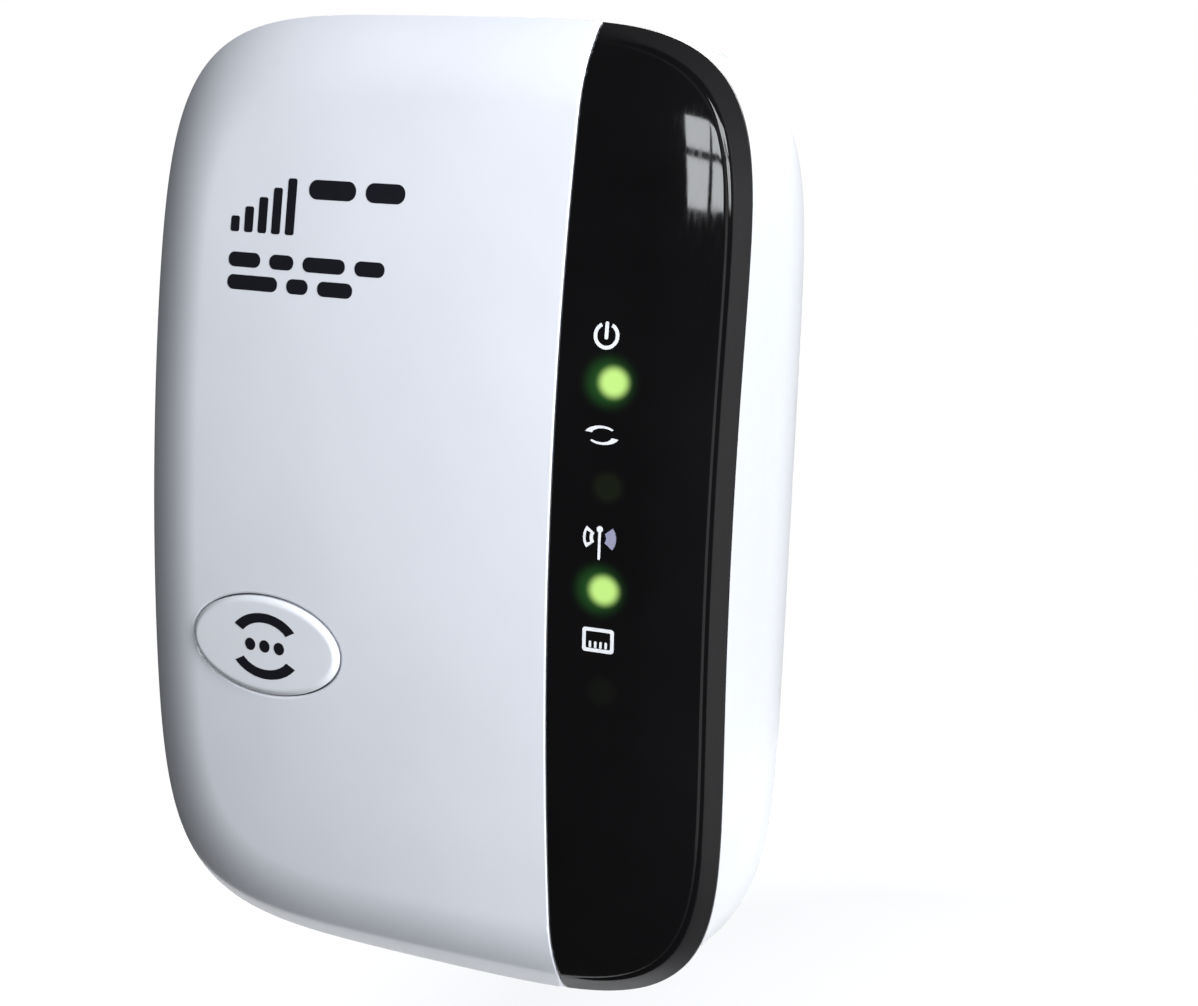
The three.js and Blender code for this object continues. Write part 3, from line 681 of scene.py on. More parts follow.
def strip_material():
    """Piano-black plastic with the light of the lights behind it painted on as emission glow, and a satin
    edge band whose grey is partly a painted sheen.
    """
    n = Nodes("strip_gloss_black")
    face = n.mottle(n.noise(12, 2), STRIP_BLACK, 0.7)
    marks = n.spread(n.noise(0.35, 4, (1, 1, 0.06)), 0.05, 0.11, 0.45, 0.8)
    band = n.sloped(*BAND_SLOPES)
    # The band's grey base colour is partly a painted sheen, on top of its real satin roughness.
    n.set(Base_Color=n.blend(band, face, BAND_SHEEN_GREY))
    n.set(Roughness=n.maths("ADD", marks, n.maths("MULTIPLY", band, BAND_ROUGHNESS)))
    n.set(Normal=n.bump(n.noise(7, 1), 0.004, 0.4))
    n.set(IOR=1.5)
    core = None
    halo = None
    for power, z in zip(LED_POWER, LED_Z):
        spot = n.maths("MULTIPLY", lit_spot(n, z, LED_CORE * 0.5, LED_CORE * 1.5), power)
        ring = n.maths("MULTIPLY", lit_spot(n, z, LED_CORE * 0.7, LED_SPILL, -0.5), power)
        core = spot if core is None else n.maths("MAXIMUM", core, spot)
        halo = ring if halo is None else n.maths("MAXIMUM", halo, ring)
    # Painted glow: a bright core over each light and a dimmer green halo round it, as emission on the
    # strip's face.
    glow = n.maths("MULTIPLY", n.maths("POWER", halo, GLOW_FALLOFF), GLOW_STRENGTH)
    dim = n.blend(glow, (0.0, 0.0, 0.0), HALO)
    n.set(Emission_Color=n.blend(core, dim, LIT), Emission_Strength=1.0)
    return n.material


COVER_WHITE = (0.70, 0.715, 0.765)
REAR_WHITE = (0.53, 0.535, 0.55)
BUTTON_WHITE = (0.73, 0.745, 0.79)

MATERIALS = {
    "cover": gloss_plastic("cover_gloss_white", COVER_WHITE),
    "cover_inside": grained_plastic("cover_inside_white", COVER_WHITE, 0.45),
    "strip": strip_material(),
    "button": gloss_plastic("button_satin_white", BUTTON_WHITE, 0.24),
    "rear": grained_plastic("rear_fine_grain_white", REAR_WHITE, 0.36, 0.22, 0.004),
    "label": matte("label_film", (0.66, 0.67, 0.69), 0.45, 0.3, 0.003),
    "ink_black": printed("ink_black", (0.008, 0.008, 0.012), 0.35),
    "ink_white": printed("ink_white", (0.80, 0.81, 0.84), 0.45),
    "ink_lavender": printed("ink_lavender", (0.30, 0.30, 0.42), 0.45),
    "ink_grey": printed("ink_grey", (0.30, 0.31, 0.33), 0.5),
    "steel": metal("screw_steel", (0.46, 0.47, 0.49), 0.3),
    "carrier": grained_plastic("carrier_plastic", (0.58, 0.585, 0.60), 0.5, 0.35, 0.008),
    "nickel": metal("blade_nickel", (0.62, 0.60, 0.56), 0.2, (1, 0.06, 1)),
    "lead_white": matte("lead_white", (0.82, 0.82, 0.80), 0.45, 0.5, 0.006, (1, 1, 0.2)),
    "lead_black": matte("lead_black", (0.015, 0.015, 0.016), 0.4, 0.5, 0.006, (1, 1, 0.2)),
    "board_green": circuit_board("board_green", (0.012, 0.075, 0.03), (0.03, 0.15, 0.05)),
    "board_tan": circuit_board("board_tan", (0.33, 0.20, 0.07), (0.40, 0.27, 0.10)),
    "chip": matte("chip_resin", (0.018, 0.018, 0.02), 0.5, 0.15, 0.004),
    "pad": matte("thermal_pad", (0.22, 0.32, 0.42), 0.85, 0.6, 0.02),
    "sink": metal("heat_sink", (0.55, 0.56, 0.58), 0.35, (1, 1, 0.05)),
    "can": metal("crystal_can", (0.62, 0.60, 0.55), 0.22),
    "antenna": metal("antenna_metal", (0.66, 0.64, 0.58), 0.25, (0.06, 1, 1)),
    "lens": printed("led_lens", (0.75, 0.85, 0.60), 0.2),
    "baffle": grained_plastic("baffle_white", (0.80, 0.80, 0.78), 0.55),
    "switch": matte("switch_black", (0.02, 0.02, 0.022), 0.45, 0.2, 0.004),
    "plunger_white": grained_plastic("plunger_white", (0.78, 0.78, 0.75), 0.45),
    "plunger_red": grained_plastic("plunger_red", (0.30, 0.03, 0.02), 0.45),
    "jack": grained_plastic("jack_black", (0.012, 0.012, 0.013), 0.38, 0.3, 0.006),
    "gold": metal("contact_gold", (0.78, 0.55, 0.20), 0.2, (1, 1, 0.1), 0.85),
    "ferrite": matte("ferrite", (0.03, 0.03, 0.033), 0.65, 0.25, 0.02),
    "tape": matte("winding_tape", (0.65, 0.50, 0.06), 0.4, 0.8, 0.01, (1, 1, 6)),
    "sleeve": matte("capacitor_sleeve", (0.02, 0.022, 0.03), 0.3, 0.9, 0.004, (0.2, 1, 1)),
    "sleeve_green": matte("capacitor_green", (0.03, 0.09, 0.04), 0.3, 0.9, 0.004, (0.2, 1, 1)),
    "resistor": matte("resistor_body", (0.32, 0.13, 0.06), 0.55, 0.3, 0.01),
    "disc": matte("disc_blue", (0.04, 0.15, 0.42), 0.4, 0.5, 0.01),
}


def finish_piece(obj, material, body="case", replaces=()):
    """Material, the body it moves with and the CAD nodes it stands for."""
    obj.data.materials.clear()
    obj.data.materials.append(MATERIALS[material])
    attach(obj, body)
    if replaces:
        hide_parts(*replaces)


# ---- Camera ----

CAMERA_TARGET = Vector((23.675, -30.0, 3.664))
CAMERA_DISTANCE = 239.2
CAMERA_AZIMUTH = 26.476
CAMERA_ELEVATION = 9.8
CAMERA_ROLL = math.radians(2.294)
CAMERA_LENS = 66.72
SENSOR_WIDTH = 36.0
CLIP_START = 0.005


def direction(azimuth, elevation):
    """Unit vector away from the case. Azimuth 0 is straight in front, and turns to the viewer's right."""
    around = math.radians(azimuth)
    above = math.radians(elevation)
    level = math.cos(above)
    return Vector((math.sin(around) * level, -math.cos(around) * level, math.sin(above)))


def make_camera():
    back = direction(CAMERA_AZIMUTH, CAMERA_ELEVATION)
    level = (-back).cross(Vector((0, 0, 1))).normalized()
    upright = level.cross(-back)
    right = level * math.cos(CAMERA_ROLL) + upright * math.sin(CAMERA_ROLL)
    up = upright * math.cos(CAMERA_ROLL) - level * math.sin(CAMERA_ROLL)
    data = bpy.data.cameras.new("camera")
    data.lens = CAMERA_LENS
    data.sensor_width = SENSOR_WIDTH
    data.clip_start = CLIP_START
    camera = add_object("camera", data)
    place = (CAMERA_TARGET + back * CAMERA_DISTANCE) * MM
    turn = Matrix((right, up, back)).transposed().to_4x4()
    camera.matrix_world = Matrix.Translation(place) @ turn
    bpy.context.scene.camera = camera


# ---- Cover ----

# Insets of the rings of points along the outline: close together over the band and the crease.
BAND_RINGS = (0.05, 0.15, 0.3, 0.5, 0.75, 1.0, 1.2, 1.35, 1.5, 1.62, 1.73, 1.84, 1.95, 2.06, 2.2, 2.45)
FACE_RINGS = (3, 3.6, 4.3, 5.1, 6, 7, 8, 9, 10)
FACE_PITCH = 1.6
SEAM_FILLET = 0.18
STRIP_FILLET = 0.2
HOLE_FILLET = 0.3
FILLET_STEPS = (0.03, 0.08, 0.15, 0.24, 0.34, 0.5, 0.8)


def side_loop(edge_x, side, inset=0.0, steps=150):
    """The case outline on one side of the vertical line at edge_x: -1 is its left, and 1 its right."""
    loop = outline(inset)
    loop = loop[side * (loop[:, 0] - edge_x) > 0.01]
    order = np.argsort(np.arctan2(loop[:, 1], side * (loop[:, 0] - edge_x)))
    top = outline_height(edge_x, inset)
    line = np.linspace(top, -top, steps)
    return np.vstack([loop[order], np.column_stack([np.full(steps, edge_x), line])])


def outline_height(x, inset=0.0):
    """Half height of the case outline at x."""
    across = (abs(x) / (HALF_WIDTH - inset)) ** SIDE_POWER
    return (HALF_HEIGHT - inset) * (1 - across) ** (1 / END_POWER)


def band_rings():
    """Rings at fixed insets along the outline, in rows square to it so that triangles keep to the rings."""
    base = outline(0.0)
    run = np.roll(base, -1, axis=0) - np.roll(base, 1, axis=0)
    inward = np.column_stack([-run[:, 1], run[:, 0]]) / np.hypot(run[:, 0], run[:, 1])[:, None]
    rings = []
    for inset in BAND_RINGS:
        distance = np.full(len(base), inset)
        for _ in range(4):
            distance = distance * inset / edge_inset(*(base + inward * distance[:, None]).T)
        rings.append(base + inward * distance[:, None])
    return rings


def skin(depth, wall, short=0.02):
    """Front and back of a moulded skin with an even wall, which ends short of the parting line."""
    def front(x, z):
        return np.minimum(depth(x, z), parting_depth(z) - PARTING_GAP - short)

    def back(x, z):
        return np.minimum(front(x, z) + wall, parting_depth(z) - PARTING_GAP)

    return front, back


def surface_fill(edge_x, side):
    """Points for a face: rings along the outline, lines beside the seam and a grid between."""
    rings = band_rings() + [outline(inset, 320) for inset in FACE_RINGS]
    lines = []
    for step in FILLET_STEPS:
        x = edge_x + side * step
        top = outline_height(x)
        z = np.linspace(-top, top, 150)[1:-1]
        lines.append(np.column_stack([np.full(len(z), x), z]))
    middle = grid(-HALF_WIDTH, HALF_WIDTH, -HALF_HEIGHT, HALF_HEIGHT, FACE_PITCH)
    middle = middle[edge_inset(*middle.T) > FACE_RINGS[-1] + 0.6]
    middle = middle[np.abs(middle[:, 0] - edge_x) > 1.2]
    rings = np.vstack(rings)
    rings = rings[np.abs(rings[:, 0] - edge_x) > 0.02]
    return np.vstack([rings, *lines, middle])


def cover_face():
    """The white cover: a crowned skin with the button's oval hole and a rounded edge along the strip."""
    edge_x = STRIP_EDGE_X - STRIP_SEAM
    hole_width = BUTTON_HALF_WIDTH + BUTTON_GAP
    hole_height = BUTTON_HALF_HEIGHT + BUTTON_GAP

    def depth(x, z):
        rim = fillet(-oval_distance(x, z, hole_width, hole_height), HOLE_FILLET)
        return cover_depth(x, z) + fillet(edge_x - x, SEAM_FILLET) + rim

    loops = [side_loop(edge_x, -1), oval(hole_width, hole_height)]
    rounds = [oval(hole_width + s, hole_height + s) for s in FILLET_STEPS]
    fill = surface_fill(edge_x, -1)
    fill = fill[oval_distance(*fill.T, hole_width, hole_height) < -1.1]
    obj = height_solid("cover_face", loops, np.vstack([fill, *rounds]), *skin(depth, COVER_WALL))
    finish_piece(obj, "cover", replaces=["front_shell"])


LEDGE_RINGS = (2.0, 3.0, 4.4, 6.0)
LEDGE_GRID = (19, 32, -48, 48, 2.2)
LIGHT_WINDOW_RADIUS = 1.1


def cover_ledge():
    """The ledge that the strip is stuck to, with four small windows for the lights."""
    edge_x = STRIP_EDGE_X - STRIP_SEAM + 0.02

    def depth(x, z):
        return cover_depth(x, z) + LEDGE_DROP

    holes = [moved(disc(LIGHT_WINDOW_RADIUS), LED_X, z) for z in LED_Z]
    fill = np.vstack([outline(inset, 240) for inset in LEDGE_RINGS] + [grid(*LEDGE_GRID)])
    fill = fill[fill[:, 0] > edge_x + 0.3]
    away = np.min([np.hypot(fill[:, 0] - LED_X, fill[:, 1] - z) for z in LED_Z], axis=0)
    loop = side_loop(edge_x, 1, LEDGE_DROP, 60)
    fill = fill[away > LIGHT_WINDOW_RADIUS + 0.5]
    obj = height_solid("cover_ledge", [loop, *holes], fill, *skin(depth, LEDGE_WALL, 0.05))
    finish_piece(obj, "cover_inside")


def ring_at(inset, depth, count=360):
    """The case outline drawn in by inset, at one depth or at a depth that follows z."""
    loop = outline(inset, count)
    return at_depth(loop, depth(loop[:, 1]) if callable(depth) else depth)


def jack_cutter():
    """Room for the network socket, open through the bottom."""
    low, high = mm_box("ethernet_jack")
    gap = 0.3
    return box_cutter((low[0] - gap, low[1] - gap, -HALF_HEIGHT - 5), high + gap)


def cover_skirt():
    """The cover's inner skirt, which slides into the rear shell and lines the two halves up."""
    def start(z):
        return parting_depth(z) - PARTING_GAP - 0.1

    def end(z):
        return parting_depth(z) + SKIRT_REACH

    def near_end(z):
        return end(z) - 0.3

    rings = [
        ring_at(SKIRT_INNER, start),
        ring_at(SKIRT_OUTER, start),
        ring_at(SKIRT_OUTER, near_end),
        ring_at(SKIRT_OUTER + 0.3, end),
        ring_at(SKIRT_INNER, end),
    ]
    obj = loop_loft("cover_skirt", rings, None)
    cut(obj, [jack_cutter()])
    smooth(obj)
    finish_piece(obj, "cover_inside")


def cover_bosses():
    """Four pilot bosses inside the cover, wider at the root, that the case screws reach into."""
    end = mm_box("main_board")[0][1] - 0.3
    for index, node in enumerate(CASE_SCREWS):
        screw_tip = mm_box(node)[0][1]
        x, _, z = mm_centre(node)
        top = cover_depth(x, z) + COVER_WALL - 0.1
        if x > STRIP_EDGE_X:
            top = top - COVER_WALL + LEDGE_DROP + 0.6
        profile = [(0, top), (PILOT_BOSS_RADIUS + 0.5, top), (PILOT_BOSS_RADIUS, top + 0.8)]
        profile += [(PILOT_BOSS_RADIUS, end - 0.25), (PILOT_BOSS_RADIUS - 0.25, end)]
        profile += [(PILOT_RADIUS + 0.2, end), (PILOT_RADIUS, end - 0.2)]
        profile += [(PILOT_RADIUS, screw_tip - 0.1), (0, screw_tip - 0.2)]
        obj = spun(f"cover_boss_{index + 1}", profile, (x, 0, z))
        finish_piece(obj, "cover_inside")


# ---- Strip ----

def indicator_strip():
    """The glossy black strip: its bevelled band, soft crease and a rounded edge along the cover."""
    edge_x = STRIP_EDGE_X + STRIP_SEAM

    def depth(x, z):
        return strip_depth(x, z) + fillet(x - edge_x, STRIP_FILLET)

    fill = surface_fill(edge_x, 1)
    obj = height_solid("strip_face", [side_loop(edge_x, 1)], fill, *skin(depth, STRIP_WALL))
    finish_piece(obj, "strip", replaces=["indicator_strip"])


# ---- Button ----

BUTTON_BEVEL = 0.85
BUTTON_BEVEL_DROP = 0.42
BUTTON_RINGS = (0.04, 0.1, 0.2, 0.32, 0.46, 0.62, 0.8, 1.0, 1.3)
BUTTON_GRID = (-HALF_WIDTH, 0, -30, -8, 1.0)


def button_depth(x, z):
    """The button's top: it follows the cover's crown, stands a little proud and rounds off at its rim."""
    rim = oval_distance(x, z, BUTTON_HALF_WIDTH, BUTTON_HALF_HEIGHT)
    left = 1 - np.clip(rim / BUTTON_BEVEL, 0, 1)
    return cover_depth(x, z) - BUTTON_PROUD + BUTTON_BEVEL_DROP * left ** 2.2


def button_back(x, z):
    return cover_depth(x, z) + BUTTON_DEPTH - BUTTON_PROUD


def wps_button():
    rings = [oval(BUTTON_HALF_WIDTH - s, BUTTON_HALF_HEIGHT - s) for s in BUTTON_RINGS]
    middle = grid(*BUTTON_GRID)
    middle = middle[oval_distance(*middle.T, BUTTON_HALF_WIDTH, BUTTON_HALF_HEIGHT) > 1.7]
    loop = oval(BUTTON_HALF_WIDTH, BUTTON_HALF_HEIGHT)
    obj = height_solid("button_cap", [loop], np.vstack([*rings, middle]), button_depth, button_back)
    finish_piece(obj, "button", "wps_button", ["wps_button"])


def button_underside():
    """The flange that keeps the button in, and the stem that pushes the switch."""
    rings = []
    for wider, lift in ((-0.6, -0.9), (0.9, -0.75), (0.9, -0.15), (-0.6, 0.0)):
        loop = oval(BUTTON_HALF_WIDTH + wider, BUTTON_HALF_HEIGHT + wider, 96)
        rings.append(at_depth(loop, button_back(*loop.T) + lift))
    flange = loop_loft("button_flange", rings)
    smooth(flange)
    floor = button_back(BUTTON_X, BUTTON_Z)
    end = mm_box("wps_button")[1][1]
    profile = [(0, floor - 1), (3.0, floor - 0.8), (2.1, floor + 0.2)]
    profile += [(1.9, end - 0.3), (1.6, end), (0, end)]
    stem = spun("button_stem", profile, (BUTTON_X, 0, BUTTON_Z), steps=32)
    for obj in (flange, stem):
        finish_piece(obj, "button", "wps_button")


# ---- Rear shell ----

def rear_inset(y):
    """Inset of the rear shell's outer side: a slight draft, then a quarter ellipse into the flat face."""
    draft = REAR_STRAIGHT_INSET * (y - DRAFT_START_Y) / (REAR_STRAIGHT_Y - DRAFT_START_Y)
    along = np.clip((y - REAR_STRAIGHT_Y) / -REAR_STRAIGHT_Y, 0, 1)
    turn = (REAR_INSET - REAR_STRAIGHT_INSET) * (1 - np.sqrt(1 - along ** 2))
    return np.where(y < REAR_STRAIGHT_Y, draft, REAR_STRAIGHT_INSET + turn)


def lip_strength(x, z):
    """1 where the finger lip stands proud along the lower edge, fading out at its right end."""
    start = np.clip((x - LIP_X[0]) / LIP_START, 0, 1)
    end = np.clip((LIP_X[1] - x) / LIP_FADE, 0, 1)
    return start * end * np.clip((LIP_Z - z) / LIP_CLIMB, 0, 1)


REAR_POINTS = 640
# The finger lip's section: depth behind the parting line, and share of LIP_PROUD.
LIP_PROFILE = ((0.08, 0.3), (0.22, 0.8), (0.45, 1.0), (0.8, 1.0), (1.05, 0.75))


def rear_ring(depth_share, inset_extra):
    """A ring of the rear shell at a share of the way from the parting line to the straight side's end."""
    loop = outline(0.0, REAR_POINTS)
    y = (parting_depth(loop[:, 1]) + PARTING_GAP) * (1 - depth_share) + REAR_STRAIGHT_Y * depth_share
    inset = rear_inset(y) + inset_extra
    scale_x = (HALF_WIDTH - inset) / HALF_WIDTH
    scale_z = (HALF_HEIGHT - inset) / HALF_HEIGHT
    return np.column_stack([loop[:, 0] * scale_x, y, loop[:, 1] * scale_z])


def lip_ring(behind, proud):
    """A ring just behind the parting line, pushed out past the case outline by the finger lip."""
    ring = rear_ring(0.0, 0.0)
    outward = lip_strength(ring[:, 0], ring[:, 2]) * (rear_inset(ring[:, 1]) + proud * LIP_PROUD)
    ring[:, 0] *= 1 + outward / HALF_WIDTH
    ring[:, 2] *= 1 + outward / HALF_HEIGHT
    ring[:, 1] += behind
    return ring


def rear_body():
    """The rear shell's outer skin and its cavity, as one closed loft."""
    rings = [rear_ring(0.0, REAR_WALL - 0.1), rear_ring(0.0, 0.25)]
    rings += [lip_ring(*step) for step in LIP_PROFILE]
    rings += [lip_ring(LIP_WIDTH, 0.2), lip_ring(LIP_WIDTH + 0.15, 0.0)]
    rings += [rear_ring(share, 0.0) for share in (0.3, 0.5, 0.75, 1.0)]
    for turn in np.linspace(0, math.pi / 2, 15)[1:]:
        y = REAR_STRAIGHT_Y * (1 - math.sin(turn))
        rings.append(ring_at(rear_inset(y), y, REAR_POINTS))
    outer_end = len(rings) - 1
    rings.append(ring_at(REAR_INSET + 0.4, -REAR_WALL, REAR_POINTS))
    for turn in np.linspace(math.pi / 2, 0, 8)[1:]:
        y = REAR_STRAIGHT_Y + (-REAR_STRAIGHT_Y - REAR_WALL) * math.sin(turn)
        rings.append(ring_at(rear_inset(y) + REAR_WALL, y, REAR_POINTS))
    rings.append(rear_ring(0.5, REAR_WALL))
    return loop_loft("rear_shell_body", rings, outer_end)


def vent_cutters():
    """Round-ended slots through the top and bottom walls."""
    middle = (VENT_Y[0] + VENT_Y[1]) / 2
    slot = stadium(VENT_WIDTH, VENT_Y[1] - VENT_Y[0])
    cutters = []
    for row, side in ((TOP_VENTS, 1), (LOWER_VENTS, -1)):
        for index in row:
            place = moved(slot, index * VENT_PITCH, middle)
            cutters.append(prism_along_z("cutter", place, *sorted(side * z for z in VENT_Z)))
    return cutters


def case_normal(points):
    """Outward normal of the rear shell's ideal outer side, at points in millimetres."""
    def level(spots):
        return case_level(spots[:, 0], spots[:, 2], rear_inset(np.clip(spots[:, 1], DRAFT_START_Y, -1e-4)))

    moves = np.eye(3) * SLOPE_STEP
    slopes = np.column_stack([level(points + move) - level(points - move) for move in moves])
    return slopes / (np.linalg.norm(slopes, axis=1)[:, None] + 1e-12)


def polish_rear(obj):
    """Gives the outer side the ideal surface's normals, so that the cuts leave no shading marks."""
    smooth(obj, 30)
    mesh = obj.data
    normals = np.array([tuple(normal.vector) for normal in mesh.corner_normals])
    places = np.array([tuple(vertex.co) for vertex in mesh.vertices]) / MM
    places = places[[corner.vertex_index for corner in mesh.loops]]
    face_of = np.repeat(np.arange(len(mesh.polygons)), [p.loop_total for p in mesh.polygons])
    face_normal = np.array([p.normal for p in mesh.polygons])[face_of]
    ideal = case_normal(places)
    use = (face_normal * ideal).sum(axis=1) > 0.9
    use &= places[:, 1] > parting_depth(places[:, 2]) + LIP_WIDTH + 0.1
    use &= places[:, 1] < -0.01
    normals[use] = ideal[use]
    mesh.normals_split_custom_set([tuple(n) for n in normals])


def rear_shell():
    """The rear shell with its bosses, bores and vents, and openings for plug, label, socket and pin."""
    obj = rear_body()
    bosses = []
    cutters = []
    for node in CASE_SCREWS:
        place = mm_centre(node) * (1, 0, 1)
        boss = [(0, BOSS_END_Y), (BOSS_RADIUS - 0.3, BOSS_END_Y), (BOSS_RADIUS, BOSS_END_Y + 0.3)]
        bosses.append(spun("boss", [*boss, (BOSS_RADIUS, -1), (0, -1)], place))
        bore = [(0, -30), (SCREW_BORE_RADIUS, -30), (SCREW_BORE_RADIUS, SCREW_SEAT_Y)]
        bore += [(COUNTERBORE_RADIUS, SCREW_SEAT_Y), (COUNTERBORE_RADIUS, -0.35)]
        cutters.append(spun("bore", [*bore, (COUNTERBORE_RADIUS + 0.7, 0.35), (0, 0.35)], place))
    for node in BOARD_SCREWS:
        place = mm_centre(node) * (1, 0, 1)
        post = [(0, POST_END_Y), (2.4, POST_END_Y), (2.6, POST_END_Y + 0.2), (3.0, -1.0), (0, -1.0)]
        bosses.append(spun("post", post, place))
        cutters.append(spun("pilot", [(0, -6), (1.0, -6), (1.0, -0.9), (0, -0.9)], place))
    opening = moved(rounded_rectangle(*CARRIER_OPENING), 0, mm_centre("plug_carrier")[2])
    cutters.append(prism_along_y("opening", opening, -6, 5))
    low, high = mm_box("rating_label")
    width, _, height = high - low + 0.5
    label_x, _, label_z = mm_centre("rating_label")
    recess = moved(rounded_rectangle(width, height, 1.3), label_x, label_z)
    cutters.append(prism_along_y("recess", recess, -0.35, 5))
    pin = moved(disc(RESET_HOLE_RADIUS), *mm_centre("reset_switch_plunger")[:2])
    cutters.append(prism_along_z("pin", pin, -60, -47.5))
    cut(obj, bosses, "UNION")
    cut(obj, cutters + vent_cutters() + [jack_cutter()])
    polish_rear(obj)
    finish_piece(obj, "rear", replaces=["rear_shell"])


# ---- Screws and prints ----

def case_screws():
    """Pan-head self-tapping screws with a cross recess. Separate rings stand for the thread."""
    for index, node in enumerate(CASE_SCREWS):
        x, _, z = mm_centre(node)
        tip, top = (corner[1] for corner in mm_box(node))
        profile = [(0, tip), (0.5, tip + 0.35), (0.95, tip + 1.4)]
        y = tip + 1.6
        while y < top - 2.6:
            profile += [(0.98, y), (1.3, y + 0.28), (0.98, y + 0.56)]
            y += 0.8
        profile += [(1.0, top - 1.75), (2.35, top - 1.75), (2.5, top - 1.5), (2.45, top - 0.9)]
        profile += [(2.1, top - 0.35), (1.4, top - 0.06), (0.6, top), (0, top)]
        obj = spun(f"case_screw_body_{index + 1}", profile, (x, 0, z), steps=40)
        arms = [rounded_rectangle(2.7, 0.62, 0.2), rounded_rectangle(0.62, 2.7, 0.2)]
        cut(obj, [prism_along_y("arm", moved(arm, x, z), top - 0.95, top + 1) for arm in arms])
        smooth(obj, 30)
        finish_piece(obj, "steel", replaces=[node])


def flat_print(name, loops, surface, material, body="case", lift=0.03, fill=()):
    """A thin layer of ink lying on a surface."""
    def top(x, z):
        return surface(x, z) - lift

    def bottom(x, z):
        return surface(x, z) + 0.02

    finish_piece(height_solid(name, loops, fill, top, bottom), material, body)


def arc_band(radius, first, last, first_width, last_width, steps=28, squash=1.0):
    """A curved band about the origin whose width changes along it. Angles are in degrees."""
    turn = np.radians(np.linspace(first, last, steps))
    width = np.linspace(first_width, last_width, steps)
    ray = np.column_stack([np.cos(turn), squash * np.sin(turn)])
    outer = ray * (radius + width / 2)[:, None]
    inner = ray * (radius - width / 2)[:, None]
    return np.vstack([outer, inner[::-1]])


TITLE_X = -25.4
TITLE_ROWS = (30.0, 23.4)
BARS = 5
BAR_WIDTH = 1.25
BAR_PITCH = 1.95


def title_print():
    """A generic mark where the name is printed: rising signal bars and rows of rounded dashes."""
    for i in range(BARS):
        height = 1.8 + 1.15 * i
        loop = rounded_rectangle(BAR_WIDTH, height, 0.3)
        loop = moved(loop, TITLE_X + BAR_WIDTH / 2 + i * BAR_PITCH, TITLE_ROWS[0] + height / 2)
        flat_print(f"print_bar_{i + 1}", [loop], cover_depth, "ink_black")
    rows = (
        (TITLE_X + BARS * BAR_PITCH + 1.0, TITLE_ROWS[0] + 4.2, 2.2, (6.4, 5.2)),
        (TITLE_X, TITLE_ROWS[1] + 2.6, 1.7, (4.6, 3.4, 5.8, 4.0)),
        (TITLE_X, TITLE_ROWS[1], 1.7, (7.2, 3.0, 4.8)),
    )
    number = 0
    for x, row, height, dashes in rows:
        for length in dashes:
            number += 1
            loop = rounded_rectangle(length, height, height / 2 - 0.02)
            loop = moved(loop, x + length / 2, row + height / 2)
            fill = grid(x, x + length, row, row + height, 0.8)
            flat_print(f"print_dash_{number}", [loop], cover_depth, "ink_black", fill=fill)
            x += length + 1.3


def button_print():
    """An open ring, of two even arcs, round three dots: a plain stand-in for a pairing mark."""
    arcs = [arc_band(4.5, first, first - 112, 1.5, 1.5, squash=0.76) for first in (146, 326)]
    dots = [moved(disc(0.75), x, 0) for x in (-2.1, 0, 2.1)]
    for index, loop in enumerate(arcs + dots):
        name = f"button_mark_{index + 1}"
        place = [moved(loop, BUTTON_X + 0.3, BUTTON_Z)]
        flat_print(name, place, button_depth, "ink_black", "wps_button")


ICON_X = 24.3
ICON_Z = (21.8, 11.2, -0.2, -11.2)


def strip_prints():
    """The four generic icons beside the lights: power, link arcs, an aerial and a network socket."""
    def put(name, loops, x, z, ink="ink_white"):
        loops = [moved(loop, x, z) for loop in loops]
        flat_print(f"icon_{name}", loops, strip_depth, ink, lift=0.025)

    power_z, sync_z, signal_z, port_z = ICON_Z
    put("power_ring", [arc_band(1.28, 118, 422, 0.4, 0.4, steps=48)], ICON_X - 0.3, power_z)
    put("power_bar", [rounded_rectangle(0.4, 1.9, 0.19)], ICON_X - 0.3, power_z + 0.55)
    put("sync_upper", [arc_band(1.6, 165, 40, 0.8, 0.3, squash=0.52)], ICON_X - 0.1, sync_z + 0.05)
    put("sync_lower", [arc_band(1.6, 345, 220, 0.8, 0.3, squash=0.52)], ICON_X - 0.1, sync_z - 0.05)
    antenna_x, antenna_z = ICON_X + 0.2, signal_z + 0.3
    left_fan = [arc_band(1.35, 142, 218, 1.15, 1.15), arc_band(1.4, 155, 205, 0.5, 0.5)]
    put("antenna_left", left_fan, antenna_x, antenna_z)
    put("antenna_right", [arc_band(1.35, -38, 38, 1.15, 1.15)], antenna_x, antenna_z, "ink_lavender")
    put("antenna_mast", [rounded_rectangle(0.3, 3.3, 0.14)], antenna_x, antenna_z - 0.75)
    put("antenna_head", [disc(0.36, 20)], antenna_x, antenna_z + 0.95)
    frame_outer = rounded_rectangle(3.7, 2.7, 0.35)
    frame_inner = rounded_rectangle(2.9, 1.9, 0.15)
    put("port_frame", [frame_outer, frame_inner], ICON_X + 0.4, port_z)
    for index in range(4):
        pin = rounded_rectangle(0.28, 0.75, 0.12)
        put(f"port_pin_{index + 1}", [pin], ICON_X + 0.4 + (index - 1.5) * 0.62, port_z - 0.52)


